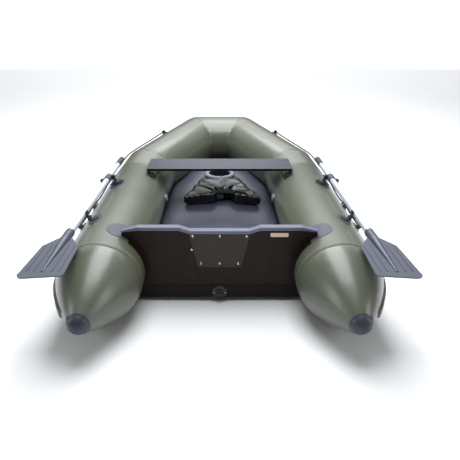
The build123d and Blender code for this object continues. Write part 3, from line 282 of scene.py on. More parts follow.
class Finish:
    """One material: a Principled shader with helpers for its colour, roughness and bump."""

    def __init__(self, name, metallic=0.0, specular=0.5, roughness=0.5):
        self.material = bpy.data.materials.new(name)
        self.material.use_nodes = True
        self.tree = self.material.node_tree
        self.shader = self.tree.nodes["Principled BSDF"]
        values = {"Metallic": metallic, "Specular IOR Level": specular, "Roughness": roughness}
        for label, value in values.items():
            self.shader.inputs[label].default_value = value
        self.coordinates = self.tree.nodes.new("ShaderNodeTexCoord").outputs["Object"]
        self.last_normal = None

    def stretched(self, scale):
        """Coordinates squeezed or stretched along each axis."""
        mapping = self.tree.nodes.new("ShaderNodeMapping")
        mapping.inputs["Scale"].default_value = scale
        self.tree.links.new(self.coordinates, mapping.inputs["Vector"])
        return mapping.outputs["Vector"]

    def effect(self, name, vector=None, **values):
        """Places a shared group and sets its inputs."""
        node = self.tree.nodes.new("ShaderNodeGroup")
        node.node_tree = bpy.data.node_groups.get(name) or GROUP_BUILDERS[name]()
        self.tree.links.new(vector or self.coordinates, node.inputs["Vector"])
        for label, value in values.items():
            node.inputs[label.title()].default_value = value
        return node.outputs

    def colour(self, mask, low, high, start=0.35, end=0.65):
        """Base colour that runs from one colour to another with a mask."""
        ramp = self.tree.nodes.new("ShaderNodeValToRGB")
        ramp.color_ramp.elements[0].position = start
        ramp.color_ramp.elements[1].position = end
        ramp.color_ramp.elements[0].color = (*low, 1)
        ramp.color_ramp.elements[1].color = (*high, 1)
        self.tree.links.new(mask, ramp.inputs["Fac"])
        self.tree.links.new(ramp.outputs["Color"], self.shader.inputs["Base Color"])

    def roughness(self, mask, low, high):
        spread = self.tree.nodes.new("ShaderNodeMapRange")
        spread.inputs["To Min"].default_value = low
        spread.inputs["To Max"].default_value = high
        self.tree.links.new(mask, spread.inputs["Value"])
        self.tree.links.new(spread.outputs["Result"], self.shader.inputs["Roughness"])

    def bump(self, height, distance, strength=1.0):
        """Adds a height to the bumps already there."""
        node = self.tree.nodes.new("ShaderNodeBump")
        node.inputs["Strength"].default_value = strength
        node.inputs["Distance"].default_value = distance
        self.tree.links.new(height, node.inputs["Height"])
        if self.last_normal:
            self.tree.links.new(self.last_normal, node.inputs["Normal"])
        self.last_normal = node.outputs["Normal"]
        self.tree.links.new(self.last_normal, self.shader.inputs["Normal"])


def shade(colour, share):
    return tuple(min(1.0, channel * share) for channel in colour)


def coated_fabric(name, light, dark, low, high, weave=0.00012, creases=0.0, coat=0.0, specular=0.5):
    """Coated cloth: fine weave under the coat, mottled colour, broad soft dents."""
    finish = Finish(name, specular=specular)
    finish.shader.inputs["Coat Weight"].default_value = coat
    finish.shader.inputs["Coat Roughness"].default_value = 0.2
    cloth = finish.effect("Dinghy Weave", threads=320.0)
    finish.colour(cloth["Mottle"], dark, light)
    finish.roughness(cloth["Mottle"], low, high)
    if creases:
        finish.bump(noise_node(finish.tree, finish.coordinates, 7.0, 3.0), creases, 0.6)
    finish.bump(cloth["Height"], weave, 0.5)
    return finish.material


def moulded(name, light, low, high, grain=0.0002, scale=700.0, scuffed=1.5, specular=0.5):
    """Moulded plastic or rubber with a fine grain and faint scuffs."""
    finish = Finish(name, specular=specular)
    surface = finish.effect("Dinghy Grain", scale=scale)
    finish.colour(surface["Scuff"], light, shade(light, scuffed), 0.0, 1.0)
    finish.roughness(surface["Scuff"], low, high)
    finish.bump(surface["Height"], grain, 0.5)
    return finish.material


def streaked(name, dark, light, low, high, stretch, scale=260.0, depth=0.00008, strength=0.35, **base):
    """Metal, ribbed plastic or grained wood with streaks along one axis."""
    finish = Finish(name, **base)
    streaks = finish.effect("Dinghy Streaks", finish.stretched(stretch), scale=scale)
    finish.colour(streaks["Tone"], dark, light)
    finish.roughness(streaks["Tone"], low, high)
    finish.bump(streaks["Height"], depth, strength)
    return finish.material


def webbing(name, tone, painted_thread_light, low, high, threads, depth, strength, specular):
    """Strap or rope whose colour follows the threads' height: painted light on the threads and painted shade
    between them.
    """
    finish = Finish(name, specular=specular)
    cloth = finish.effect("Dinghy Weave", threads=threads)
    # Colour follows the weave's height: painted shade in the grooves, painted light on the thread tops.
    finish.colour(cloth["Height"], tone, painted_thread_light, 0.0, 1.0)
    finish.roughness(cloth["Mottle"], low, high)
    finish.bump(cloth["Height"], depth, strength)
    return finish.material


def tape_finish(c):
    return coated_fabric("seam_tape_finish", shade(c.hull, 1.25), shade(c.hull, 1.1), 0.24, 0.34)


def bag_finish(c):
    finish = Finish("bag_nylon_finish", specular=0.6)
    cloth = finish.effect("Dinghy Weave", threads=260.0)
    finish.colour(cloth["Mottle"], shade(c.bag, 0.8), shade(c.bag, 1.6))
    finish.roughness(cloth["Mottle"], 0.22, 0.34)
    finish.bump(noise_node(finish.tree, finish.coordinates, 13.0, 2.0), 0.005, 0.35)
    finish.bump(cloth["Height"], 0.00006, 0.3)
    return finish.material


def mouth_shade_finish(c):
    """Dull black of the bag's inside: the bag's own black nylon, darkened further and without sheen as
    painted shade deep in the opening.
    """
    finish = Finish("bag_mouth_finish", specular=0.0, roughness=0.9)
    cloth = finish.effect("Dinghy Weave", threads=260.0)
    finish.colour(cloth["Mottle"], shade(c.bag, 0.4), shade(c.bag, 0.7))
    return finish.material


def plate_finish(c):
    finish = Finish("label_foil_finish")
    surface = finish.effect("Dinghy Grain", scale=260.0)
    finish.colour(surface["Scuff"], c.plate, shade(c.plate, 0.86), 0.0, 1.0)
    finish.roughness(surface["Scuff"], 0.22, 0.34)
    return finish.material


# Builder of each finish, by the name of its slot.
FINISH_BUILDERS = {
    "hull_pvc": lambda c: coated_fabric(
        "hull_pvc_finish", c.hull, c.hull_dark, 0.3, 0.4, creases=0.004, coat=0.35
    ),
    "seam_tape": tape_finish,
    "black_rubber": lambda c: moulded("black_rubber_finish", c.rubber, 0.38, 0.55, scuffed=2.4),
    "stern_cap": lambda c: moulded(
        "cap_rubber_finish", c.cap, 0.3, 0.42, grain=0.0003, scale=500.0, scuffed=1.4, specular=0.3
    ),
    "strake_rubber": lambda c: moulded("strake_rubber_finish", c.strake, 0.36, 0.52, scuffed=1.3),
    "bulkhead_fabric": tape_finish,
    "bottom_pvc": lambda c: coated_fabric(
        "bottom_pvc_finish", c.hem, shade(c.hem, 0.8), 0.42, 0.56, specular=0.15
    ),
    "floor_pvc": lambda c: coated_fabric(
        "floor_pvc_finish", c.floor, shade(c.floor, 0.8), 0.28, 0.38, creases=0.003, coat=0.3
    ),
    "transom_ply": lambda c: streaked(
        "transom_ply_finish", shade(c.transom, 0.8), shade(c.transom, 1.25), 0.34, 0.48,
        (1, 1, 0.05), 180.0, 0.00025, 0.5, specular=0.16,
    ),
    "pad_plastic": lambda c: moulded(
        "pad_plastic_finish", c.pad, 0.4, 0.56, grain=0.0004, scale=420.0, specular=0.3
    ),
    "trim_plastic": lambda c: moulded("trim_plastic_finish", c.trim, 0.32, 0.46, scuffed=0.85),
    "label_foil": plate_finish,
    "stainless": lambda c: streaked(
        "stainless_finish", shade(c.steel, 0.82), c.steel, 0.12, 0.24, (1, 1, 1), metallic=1.0
    ),
    "patch_pvc": lambda c: coated_fabric("patch_pvc_finish", c.patch, shade(c.patch, 0.82), 0.4, 0.52),
    "seat_grey": lambda c: streaked(
        "seat_grey_finish", shade(c.seat, 0.85), c.seat, 0.32, 0.45, (0.04, 1, 1), 420.0, 0.00012, 0.5
    ),
    # Painted shade: the seat's plastic made near-black for its aft faces.
    "seat_edge_painted_shade": lambda c: moulded("seat_edge_finish", c.seat_edge_painted_shade, 0.4, 0.55, scuffed=1.6),
    "clip_nylon": lambda c: moulded("clip_nylon_finish", c.clip, 0.35, 0.5, scuffed=0.8),
    "bag_nylon": bag_finish,
    "bag_collar": lambda c: coated_fabric(
        "collar_lining_finish", c.collar, shade(c.collar, 0.75), 0.35, 0.5, creases=0.003
    ),
    # The lighter second colour is painted light on the strap's threads; the grooves keep the darker one as
    # painted shade.
    "bag_strap": lambda c: webbing(
        "bag_strap_finish", shade(c.bag, 1.0), shade(c.bag, 2.6), 0.5, 0.7, 420.0, 0.0004, 0.7, 0.4
    ),
    # Painted shade: the darkened, sheenless finish of the disc in the bag's mouth.
    "bag_mouth_painted_shade": mouth_shade_finish,
    "oar_alloy": lambda c: streaked(
        "oar_alloy_finish", shade(c.alloy, 0.82), c.alloy, 0.3, 0.44, (1, 0.03, 1), metallic=0.55
    ),
    "oarlock_plastic": lambda c: moulded("oarlock_plastic_finish", c.rubber, 0.26, 0.4, scuffed=2.0),
    "grip_rubber": lambda c: moulded("grip_rubber_finish", c.grip, 0.5, 0.65, grain=0.0005, scale=380.0),
    "blade_plastic": lambda c: moulded(
        "blade_plastic_finish", c.blade, 0.3, 0.46, grain=0.00025, scale=520.0, scuffed=1.25
    ),
    "valve_plastic": lambda c: moulded("valve_plastic_finish", c.valve, 0.3, 0.42, scuffed=0.85),
    # The lighter second colour is painted light on the rope's threads; the grooves keep the darker one as
    # painted shade.
    "rope_black": lambda c: webbing(
        "rope_black_finish", shade(c.rope, 0.8), shade(c.rope, 2.2), 0.6, 0.78, 700.0, 0.0003, 0.6, 0.35
    ),
}
finishes = {}


def finish_of(name):
    """The material of that name, made once."""
    if name not in finishes:
        finishes[name] = FINISH_BUILDERS[name](settings().colours)
    return finishes[name]


def dress(piece, name):
    """Gives a piece or a carried-over node one finish."""
    if not piece.data.materials:
        piece.data.materials.append(None)
    for slot in piece.material_slots:
        slot.material = finish_of(name)


def finished(piece, slot, body, *nodes, finish=None):
    """Dresses a new piece, hangs it on its body and hides the nodes that it stands for."""
    dress(piece, finish or slot)
    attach(piece, body)
    if nodes:
        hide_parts(*nodes)
    return piece


# ---- mesh helpers ----
def add_object(name, data):
    """New object in the scene that holds the data."""
    piece = bpy.data.objects.new(name, data)
    bpy.context.scene.collection.objects.link(piece)
    return piece


def smooth_shaded(mesh):
    for polygon in mesh.polygons:
        polygon.use_smooth = True


def mesh_piece(name, points, faces):
    """Object from points and faces, with its normals made to point outward."""
    mesh = bpy.data.meshes.new(name)
    mesh.from_pydata([tuple(p) for p in points], [], faces)
    bm = bmesh.new()
    bm.from_mesh(mesh)
    bmesh.ops.remove_doubles(bm, verts=bm.verts, dist=1e-6)
    bmesh.ops.recalc_face_normals(bm, faces=bm.faces)
    bm.to_mesh(mesh)
    bm.free()
    smooth_shaded(mesh)
    return add_object(name, mesh)


def grid_faces(rows, columns, closed_columns=False, closed_rows=False):
    """Quads of a grid whose points are stored row by row."""
    faces = []
    for i in range(rows if closed_rows else rows - 1):
        for j in range(columns if closed_columns else columns - 1):
            here, ahead, across = i * columns, (i + 1) % rows * columns, (j + 1) % columns
            faces.append((here + j, here + across, ahead + across, ahead + j))
    return faces


def grid_piece(name, rows, closed_columns=False, closed_rows=False):
    """Object from rows of points of equal length."""
    faces = grid_faces(len(rows), len(rows[0]), closed_columns, closed_rows)
    return mesh_piece(name, [point for row in rows for point in row], faces)


def closed_tube(name, rings):
    """Closed shape from rings of equal length, with a flat end on the first and last."""
    rows, columns = rings.shape[:2]
    faces = grid_faces(rows, columns, closed_columns=True)
    faces.append(tuple(range(columns)))
    faces.append(tuple(range((rows - 1) * columns, rows * columns)))
    return mesh_piece(name, rings.reshape(-1, 3), faces)


def add_bevel(piece, width, segments, angle):
    modifier = piece.modifiers.new("Rounded edges", "BEVEL")
    modifier.width = width
    modifier.segments = segments
    modifier.limit_method = "ANGLE"
    modifier.angle_limit = math.radians(angle)


# ---- buoyancy tube ----
def unit(vector):
    return vector / np.linalg.norm(vector)


def tube_corners():
    """Corners of the tube's axis from the starboard seam round the bow to the port seam."""
    tube = settings().tube
    seam = np.array([SIDE_X, SEAM_Y, tube.radius])
    first = seam + [0, tube.side_length, 0]
    shoulder_in = tube.shoulder_length * math.sin(tube.shoulder_angle)
    shoulder_on = tube.shoulder_length * math.cos(tube.shoulder_angle)
    cheek_in = SIDE_X - shoulder_in - tube.bow_half
    cheek_on = cheek_in / math.tan(tube.cheek_angle)
    rate = tube.bow_rise / (shoulder_on + cheek_on)
    second = first + [-shoulder_in, shoulder_on, shoulder_on * rate]
    third = second + [-cheek_in, cheek_on, cheek_on * rate]
    right = [seam, first, second, third]
    return right + [p * [-1, 1, 1] for p in reversed(right)]


STRETCHES = ("side_right", "shoulder_right", "cheek_right", "bow", "cheek_left", "shoulder_left", "side_left")


# How far the softening reaches on each side of a mitre, in softnesses.
MITRE_REACH = 3.5


class TubeWall:
    """The tube's outer wall: gives a point for a place along the axis and an angle above outward."""

    def __init__(self, corners, radius, softness):
        self.corners = corners
        self.radius = radius
        self.softness = softness
        self.along = [unit(b - a) for a, b in zip(corners, corners[1:])]
        self.lengths = [np.linalg.norm(b - a) for a, b in zip(corners, corners[1:])]
        self.outward = [unit(np.cross(d, [0, 0, 1])) for d in self.along]
        self.up = [np.cross(o, d) for o, d in zip(self.outward, self.along)]
        joins = [unit(a + b) for a, b in zip(self.along, self.along[1:])]
        self.starts = [self.along[0]] + joins
        self.ends = joins + [self.along[-1]]
        self.twists = [self.twist(i) for i in range(len(joins))]

    def twist(self, join):
        """Angle by which outward turns round the axis from one stretch to the next."""
        normal, outward, along = self.starts[join + 1], self.outward[join + 1], self.along[join + 1]
        after = outward - along * (outward @ normal) / (along @ normal)
        flat = after - self.along[join] * (after @ self.along[join])
        return math.atan2(flat @ self.up[join], flat @ self.outward[join])

    def sharp(self, stretch, share, angles, height):
        """Points at one share of a stretch, cut by the mitre planes at both ends."""
        first = self.twists[stretch - 1] / 2 if stretch else 0.0
        last = self.twists[stretch] / 2 if stretch < len(self.twists) else 0.0

        def offset(turn):
            c, s = np.cos(angles + turn), np.sin(angles + turn)
            ring = c[:, None] * self.outward[stretch] + s[:, None] * self.up[stretch]
            return ring * (self.radius + height)[:, None]

        along = self.along[stretch]
        begin, finish = self.starts[stretch], self.ends[stretch]
        low = -(offset(-first) @ begin) / (along @ begin)
        high = self.lengths[stretch] - (offset(last) @ finish) / (along @ finish)
        place = low + share * (high - low)
        turn = -first + share * (first + last)
        return self.corners[stretch] + offset(turn) + place[:, None] * along

    def rows(self, angles, height, step=0.011):
        """Rings from seam to seam with softened mitres, and the index where each stretch starts."""
        rings, places, marks, done = [], [], [], 0.0
        for k, length in enumerate(self.lengths):
            marks.append(len(rings))
            count = max(6, round(length / step))
            for i in range(count + (k == len(self.lengths) - 1)):
                share = 0.5 - 0.5 * math.cos(math.pi * i / count)
                rings.append(self.sharp(k, share, angles, height))
                places.append(done + share * length)
            done += length
        marks.append(len(rings) - 1)
        rings, places = np.array(rings), np.array(places)
        bends = np.cumsum(self.lengths)[:-1]
        weights = np.exp(-((places[:, None] - places[None, :]) ** 2) / (2 * self.softness**2))
        weights *= np.gradient(places)[None, :]
        weights /= weights.sum(1, keepdims=True)
        near = np.abs(places[:, None] - bends[None, :]).min(1)
        blend = np.clip((MITRE_REACH * self.softness - near) / self.softness, 0, 1)[:, None, None]
        soft = np.tensordot(weights, rings, (1, 0))
        return rings * (1 - blend) + soft * blend, places, marks, bends


def tube_wall():
    tube = settings().tube
    return TubeWall(tube_corners(), tube.radius, tube.seam_softness)


def full_circle():
    count = settings().tube.segments
    return np.arange(count) * 2 * math.pi / count


# Distance from a mitre over which its folds fade away.
PUCKER_REACH = 0.03


def puckered(wall, angles):
    """Rows of the skin with small folds that fade away from each mitre on its inner side."""
    tube = settings().tube
    rings, places, marks, bends = wall.rows(angles, np.zeros(len(angles)))
    for bend in bends:
        fade = np.exp(-np.abs(places - bend) / PUCKER_REACH)
        inner = np.clip(-np.cos(angles) + 0.25, 0, 1)
        wave = np.sin(21 * angles + 3 * np.sin(5 * angles))
        depth = tube.pucker * fade[:, None] * (inner * wave)[None, :]
        centre = rings.mean(1, keepdims=True)
        outward = rings - centre
        outward /= np.linalg.norm(outward, axis=2, keepdims=True)
        rings = rings + outward * depth[:, :, None]
    return rings, marks


def solid_sheet(piece, thickness, offset=-1.0):
    """Gives an open skin its wall, inward unless told otherwise."""
    modifier = piece.modifiers.new("Wall", "SOLIDIFY")
    modifier.thickness = thickness
    modifier.offset = offset
    return piece


def add_subdivision(piece, levels):
    modifier = piece.modifiers.new("Smooth", "SUBSURF")
    modifier.levels = modifier.render_levels = levels


def open_skin(name, rings):
    """Open sleeve of rings whose faces look outward."""
    rows, columns = rings.shape[:2]
    mesh = bpy.data.meshes.new(name)
    mesh.from_pydata([tuple(p) for p in rings.reshape(-1, 3)], [], grid_faces(rows, columns, True))
    face = mesh.polygons[0]
    middle = Vector(rings[0].mean(0))
    if face.normal.dot(face.center - middle) < 0:
        mesh.flip_normals()
    smooth_shaded(mesh)
    return add_object(name, mesh)


SKIN_WALL = 0.0011


class DINGHY_OT_tube_skins(bpy.types.Operator):
    """Skins of the seven stretches of tube, with soft mitres and small puckers"""

    bl_idname = "dinghy.tube_skins"
    bl_label = "Tube skins"

    def execute(self, context):
        rings, marks = puckered(tube_wall(), full_circle())
        for name, start, end in zip(STRETCHES, marks, marks[1:]):
            stretch, _, side = name.partition("_")
            node = f"{stretch}_tube_{side}" if side else "bow_tube"
            skin = solid_sheet(open_skin(f"{name}_skin", rings[start : end + 1]), SKIN_WALL)
            finished(skin, "hull_pvc", "hull", node)
        return {"FINISHED"}


# Share of a cone's length over which its section turns from the tube's axis to its own.
CONE_TURN = 0.12


def cone_rings(side, height=0.0, first=0.0, last=1.0, angles=None, count=30):
    """Rings of a stern cone between two shares of its length."""
    tube = settings().tube
    angles = full_circle() if angles is None else angles
    start = np.array([side * SIDE_X, SEAM_Y, tube.radius])
    toe = tube.cone_toe
    axis = np.array([side * math.sin(toe), -math.cos(toe), 0])
    rings = []
    for i in range(count + 1):
        share = first + (last - first) * i / count
        turn = toe * min(1.0, share / CONE_TURN)
        outward = np.array([side * math.cos(turn), math.sin(turn), 0])
        radius = tube.cone_tip + (tube.radius - tube.cone_tip) * (1 - share**tube.cone_roundness) + height
        ring = np.cos(angles)[:, None] * outward + np.sin(angles)[:, None] * np.array([0, 0, 1.0])
        rings.append(start + axis * share * tube.cone_length + ring * radius)
    return np.array(rings)


class DINGHY_OT_cone_skins(bpy.types.Operator):
    """Skins of the two stern cones, closed at the tip"""

    bl_idname = "dinghy.cone_skins"
    bl_label = "Cone skins"

    def execute(self, context):
        for name, side in SIDES:
            rings = cone_rings(side)
            tip = rings[-1].mean(0)
            closing = [tip + (rings[-1] - tip) * share for share in (0.66, 0.33, 0.02)]
            skin = open_skin(f"cone_skin_{name}", np.concatenate([rings, closing]))
            finished(solid_sheet(skin, SKIN_WALL), "hull_pvc", "hull", f"stern_cone_{name}")
        return {"FINISHED"}


def strip_between(name, lower, upper):
    """Closed strip between an inner and an outer set of rows."""
    return closed_tube(name, np.concatenate([upper, lower[:, ::-1]], axis=1))


SEAM_STRIP_HALF = 0.011
SEAM_STRIP_THICKNESS = 0.0008
SEAM_STRIP_SINK = 0.6


def seam_strip(name, wall, bend, angles):
    """Welded strip that covers one mitre seam all the way round."""
    lift = np.full(len(angles), SEAM_STRIP_THICKNESS)
    outer, places, _, _ = wall.rows(angles, lift)
    inner, _, _, _ = wall.rows(angles, -lift * SEAM_STRIP_SINK)
    near = np.abs(places - bend) <= SEAM_STRIP_HALF
    upper, lower = outer[near], inner[near]
    return grid_piece(name, np.concatenate([upper, lower[::-1]]), True, True)


class DINGHY_OT_seam_strips(bpy.types.Operator):
    """Welded strips over the mitre seams"""

    bl_idname = "dinghy.seam_strips"
    bl_label = "Seam strips"

    def execute(self, context):
        wall = tube_wall()
        bends = np.cumsum(wall.lengths)[:-1]
        for k, bend in enumerate(bends):
            strip = seam_strip(f"mitre_strip_{k + 1}", wall, bend, full_circle())
            finished(strip, "hull_pvc", "hull")
        return {"FINISHED"}


# Section of the strake: angle above outward in degrees, height in millimetres.
STRAKE_SECTION = (
    (-11.5, 0.0), (-11.3, 1.8), (-10.6, 2.6), (-9.2, 2.8), (-8.5, 6.4), (-7.6, 8.0), (-6.0, 8.2),
    (-4.4, 8.0), (-3.5, 6.4), (-2.9, 2.8), (0.0, 2.5), (2.9, 2.8), (3.5, 6.4), (4.4, 8.0), (6.0, 8.2),
    (7.6, 8.0), (8.5, 6.4), (9.2, 2.8), (10.6, 2.6), (11.3, 1.8), (11.5, 0.0),
)
STRAKE_CONE_SHARE = 0.8
STRAKE_LIFT = 0.0001
STRAKE_SINK = -0.001


# Bands of the strake: piece, node that it stands for, first stretch and the one after its last.
STRAKE_SPANS = (
    ("side_strake_right_band", "side_strake_right", 0, 1),
    ("bow_strake_skin_band", "bow_strake", 1, 6),
    ("side_strake_left_band", "side_strake_left", 6, 7),
)


class DINGHY_OT_strakes(bpy.types.Operator):
    """Rubbing strake with two ridges, from cone to cone round the bow"""

    bl_idname = "dinghy.strakes"
    bl_label = "Rubbing strake"

    def execute(self, context):
        angles = np.radians([a for a, _ in STRAKE_SECTION])
        heights = np.array([h for _, h in STRAKE_SECTION]) / 1000 + STRAKE_LIFT
        wall = tube_wall()
        outer, _, marks, _ = wall.rows(angles, heights)
        inner, _, _, _ = wall.rows(angles, np.full(len(angles), STRAKE_SINK))
        for name, node, first, last in STRAKE_SPANS:
            start, end = marks[first], marks[last] + 1
            strake = strip_between(name, inner[start:end], outer[start:end])
            finished(strake, "strake_rubber", "hull", node)
        for name, side in SIDES:
            tail = [
                cone_rings(side, lift, 0.0, STRAKE_CONE_SHARE, angles, 24)
                for lift in (np.full(len(angles), STRAKE_SINK)[:, None], heights[:, None])
            ]
            piece = strip_between(f"strake_tail_{name}", *tail)
            finished(piece, "strake_rubber", "hull")
        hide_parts("cone_strakes")
        return {"FINISHED"}


# ---- air floor ----
FLOOR_CROWN_MARGIN = 0.06
FLOOR_CLIMB_BLEND = 0.05
FLOOR_INSET = 0.134
FLOOR_BOW_GAP = 0.09
FLOOR_STERN = 0.145
FLOOR_EDGE_RADIUS = 0.055
FLOOR_CLEARANCE = 0.002
FLOOR_LEAST = 0.004
FLOOR_WAVE = 0.0015
FLOOR_ROWS = 110
FLOOR_COLUMNS = 61


def floor_height(x, y):
    """Height of the floor's upper face, which is crowned and climbs towards the bow."""
    soft = settings().soft
    half = soft.floor_half - FLOOR_CROWN_MARGIN
    crown = soft.floor_shoulder + (soft.floor_top - soft.floor_shoulder) * (1 - (x / half) ** 2)
    corners = tube_corners()
    climb = (corners[3][2] - corners[1][2]) / (corners[3][1] - corners[1][1])
    past = y - corners[1][1]
    return crown + (past + math.hypot(past, FLOOR_CLIMB_BLEND)) / 2 * climb


def floor_edge_drop(room):
    """How far the floor's rounded edge lies below its top at a distance from the rim."""
    inner = min(1.0, room / FLOOR_EDGE_RADIUS)
    return FLOOR_EDGE_RADIUS * (1 - math.sqrt(max(0.0, 1 - (1 - inner) ** 2)))


def floor_outline():
    """Half widths of the floor along the boat, from stern to bow."""
    corners = tube_corners()[:4]
    points = []
    for a, b, c in zip(corners, corners[1:], corners[2:] + [corners[3] * [-1, 1, 1]]):
        d, e = unit((b - a)[:2]), unit((c - b)[:2])
        inward = np.array([-(d + e)[1], (d + e)[0]])
        points.append(b[:2] + inward / (1 + d @ e) * FLOOR_INSET)
    end = points[-1][1] - FLOOR_BOW_GAP
    width = np.interp(end, [p[1] for p in points[-2:]], [p[0] for p in points[-2:]])
    plan = [(points[0][0], SEAM_Y + FLOOR_STERN)] + [tuple(p) for p in points[:-1]] + [(width, end)]
    return [(min(half, settings().soft.floor_half), y) for half, y in plan]


class DINGHY_OT_air_floor(bpy.types.Operator):
    """Inflated floor mat: crowned, round at its sides, and climbing with the bow"""

    bl_idname = "dinghy.air_floor"
    bl_label = "Air floor"

    def execute(self, context):
        outline = floor_outline()
        widths, stations = [w for w, _ in outline], [y for _, y in outline]
        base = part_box("floor_mat")[0].z + FLOOR_CLEARANCE
        ys = np.linspace(stations[0], stations[-1], FLOOR_ROWS)
        shares = np.sin(np.linspace(-math.pi / 2, math.pi / 2, FLOOR_COLUMNS))
        top, bottom = [], []
        for y in ys:
            half = np.interp(y, stations, widths)
            end_drop = floor_edge_drop(min(y - stations[0], stations[-1] - y))
            climb = floor_height(0, y) - settings().soft.floor_top
            for share in shares:
                x = half * share
                z = floor_height(x, y) - max(floor_edge_drop(half - abs(x)), end_drop)
                z += FLOOR_WAVE * noise.noise(Vector((x * 6, y * 4, 3.1)))
                top.append((x, y, max(z, base + climb + FLOOR_LEAST)))
                bottom.append((x, y, base + climb))
        rows, columns = len(ys), len(shares)
        faces = grid_faces(rows, columns)
        count = len(top)
        faces += [tuple(count + v for v in reversed(face)) for face in faces]
        rim = [(i, i + 1) for i in range(columns - 1)]
        rim += [((rows - 1) * columns + i + 1, (rows - 1) * columns + i) for i in range(columns - 1)]
        rim += [((i + 1) * columns, i * columns) for i in range(rows - 1)]
        rim += [(i * columns + columns - 1, (i + 1) * columns + columns - 1) for i in range(rows - 1)]
        faces += [(a, b, b + count, a + count) for a, b in rim]
        mat = mesh_piece("air_floor", top + bottom, faces)
        finished(mat, "floor_pvc", "hull", "floor_mat")
        return {"FINISHED"}


# ---- ropes ----
# Corners of a grab line from the bow holder aft: stretch, distance in millimetres,
# angle above outward in degrees, height off the tube in millimetres.
GRAB_ROUTE = (
    (2, 322, 57.0, 13.0), (2, 262, 54.0, 12.0), (2, 168, 51.5, 10.5), (2, 62, 47.0, 12.5),
    (1, 196, 44.5, 15.0), (1, 104, 40.0, 11.5), (1, 12, 37.5, 14.0), (0, 985, 33.0, 13.0),
    (0, 905, 28.0, 11.0), (0, 805, 23.5, 9.5), (0, 702, 23.5, 9.5), (0, 612, 28.5, 11.0),
    (0, 545, 33.6, 13.0), (0, 472, 31.5, 11.0), (0, 392, 30.5, 11.0), (0, 318, 32.0, 13.0),
)

# Corners of the tether, in millimetres: starboard, height, distance aft of the board.
TETHER_ROUTE = (
    (-112.3, 262.0, 1.7), (-112.3, 236.0, 1.7), (-107.0, 204.0, 1.9), (-99.0, 168.0, 2.2),
    (-94.5, 126.0, 2.8), (-92.5, 86.0, 3.5), (-91.0, 52.0, 3.5),
)


def route_curve(name, points):
    """Smooth open curve with the route's corners as its control points."""
    curve = bpy.data.curves.new(name, "CURVE")
    curve.dimensions = "3D"
    spline = curve.splines.new("NURBS")
    spline.points.add(len(points) - 1)
    for target, point in zip(spline.points, points):
        target.co = (*point, 1.0)
    spline.order_u = 3
    spline.use_endpoint_u = True
    spline.resolution_u = 16
    return add_object(name, curve)


def evaluated_mesh(piece):
    """Plain mesh of a piece with its modifiers or its curve worked out."""
    bpy.context.view_layer.update()
    graph = bpy.context.evaluated_depsgraph_get()
    return bpy.data.meshes.new_from_object(piece.evaluated_get(graph))


class Tree:
    """Geometry node tree with named inputs and short calls to add and link nodes."""

    def __init__(self, name, inputs):
        self.group = bpy.data.node_groups.new(name, "GeometryNodeTree")
        self.group.interface.new_socket("Geometry", in_out="INPUT", socket_type="NodeSocketGeometry")
        for label, kind, value in inputs:
            socket = self.group.interface.new_socket(label, in_out="INPUT", socket_type=kind)
            if value is not None:
                socket.default_value = value
        self.group.interface.new_socket("Geometry", in_out="OUTPUT", socket_type="NodeSocketGeometry")
        self.source = self.group.nodes.new("NodeGroupInput")
        self.sink = self.group.nodes.new("NodeGroupOutput")

    def given(self, label):
        return self.source.outputs[label]

    def add(self, kind, options=None, **values):
        """Adds a node, sets its options, and fills its named inputs with values or links."""
        node = self.group.nodes.new(kind)
        for option, value in (options or {}).items():
            setattr(node, option, value)
        for label, value in values.items():
            feed(self.group, node.inputs[label.replace("_", " ")], value)
        return node

    def maths(self, operation, *values):
        return math_node(self.group, operation, *values)

    def vectors(self, operation, *values):
        return math_node(self.group, operation, *values, kind="ShaderNodeVectorMath")

    def scaled(self, vector, factor):
        node = self.add("ShaderNodeVectorMath", {"operation": "SCALE"}, Vector=vector, Scale=factor)
        return node.outputs[0]

    def finish(self, geometry, material):
        """Ends the tree in realized instances, smooth faces and a material."""
        real = self.add("GeometryNodeRealizeInstances", Geometry=geometry)
        smooth = self.add("GeometryNodeSetShadeSmooth", Geometry=real.outputs[0])
        painted = self.add("GeometryNodeSetMaterial", Geometry=smooth.outputs[0], Material=material)
        self.group.links.new(painted.outputs[0], self.sink.inputs["Geometry"])
        return self.group


# Shares of the rope's diameter: from its axis to a strand's axis, and a strand's radius.
STRAND_OFFSET = 0.262
STRAND_RADIUS = 0.238


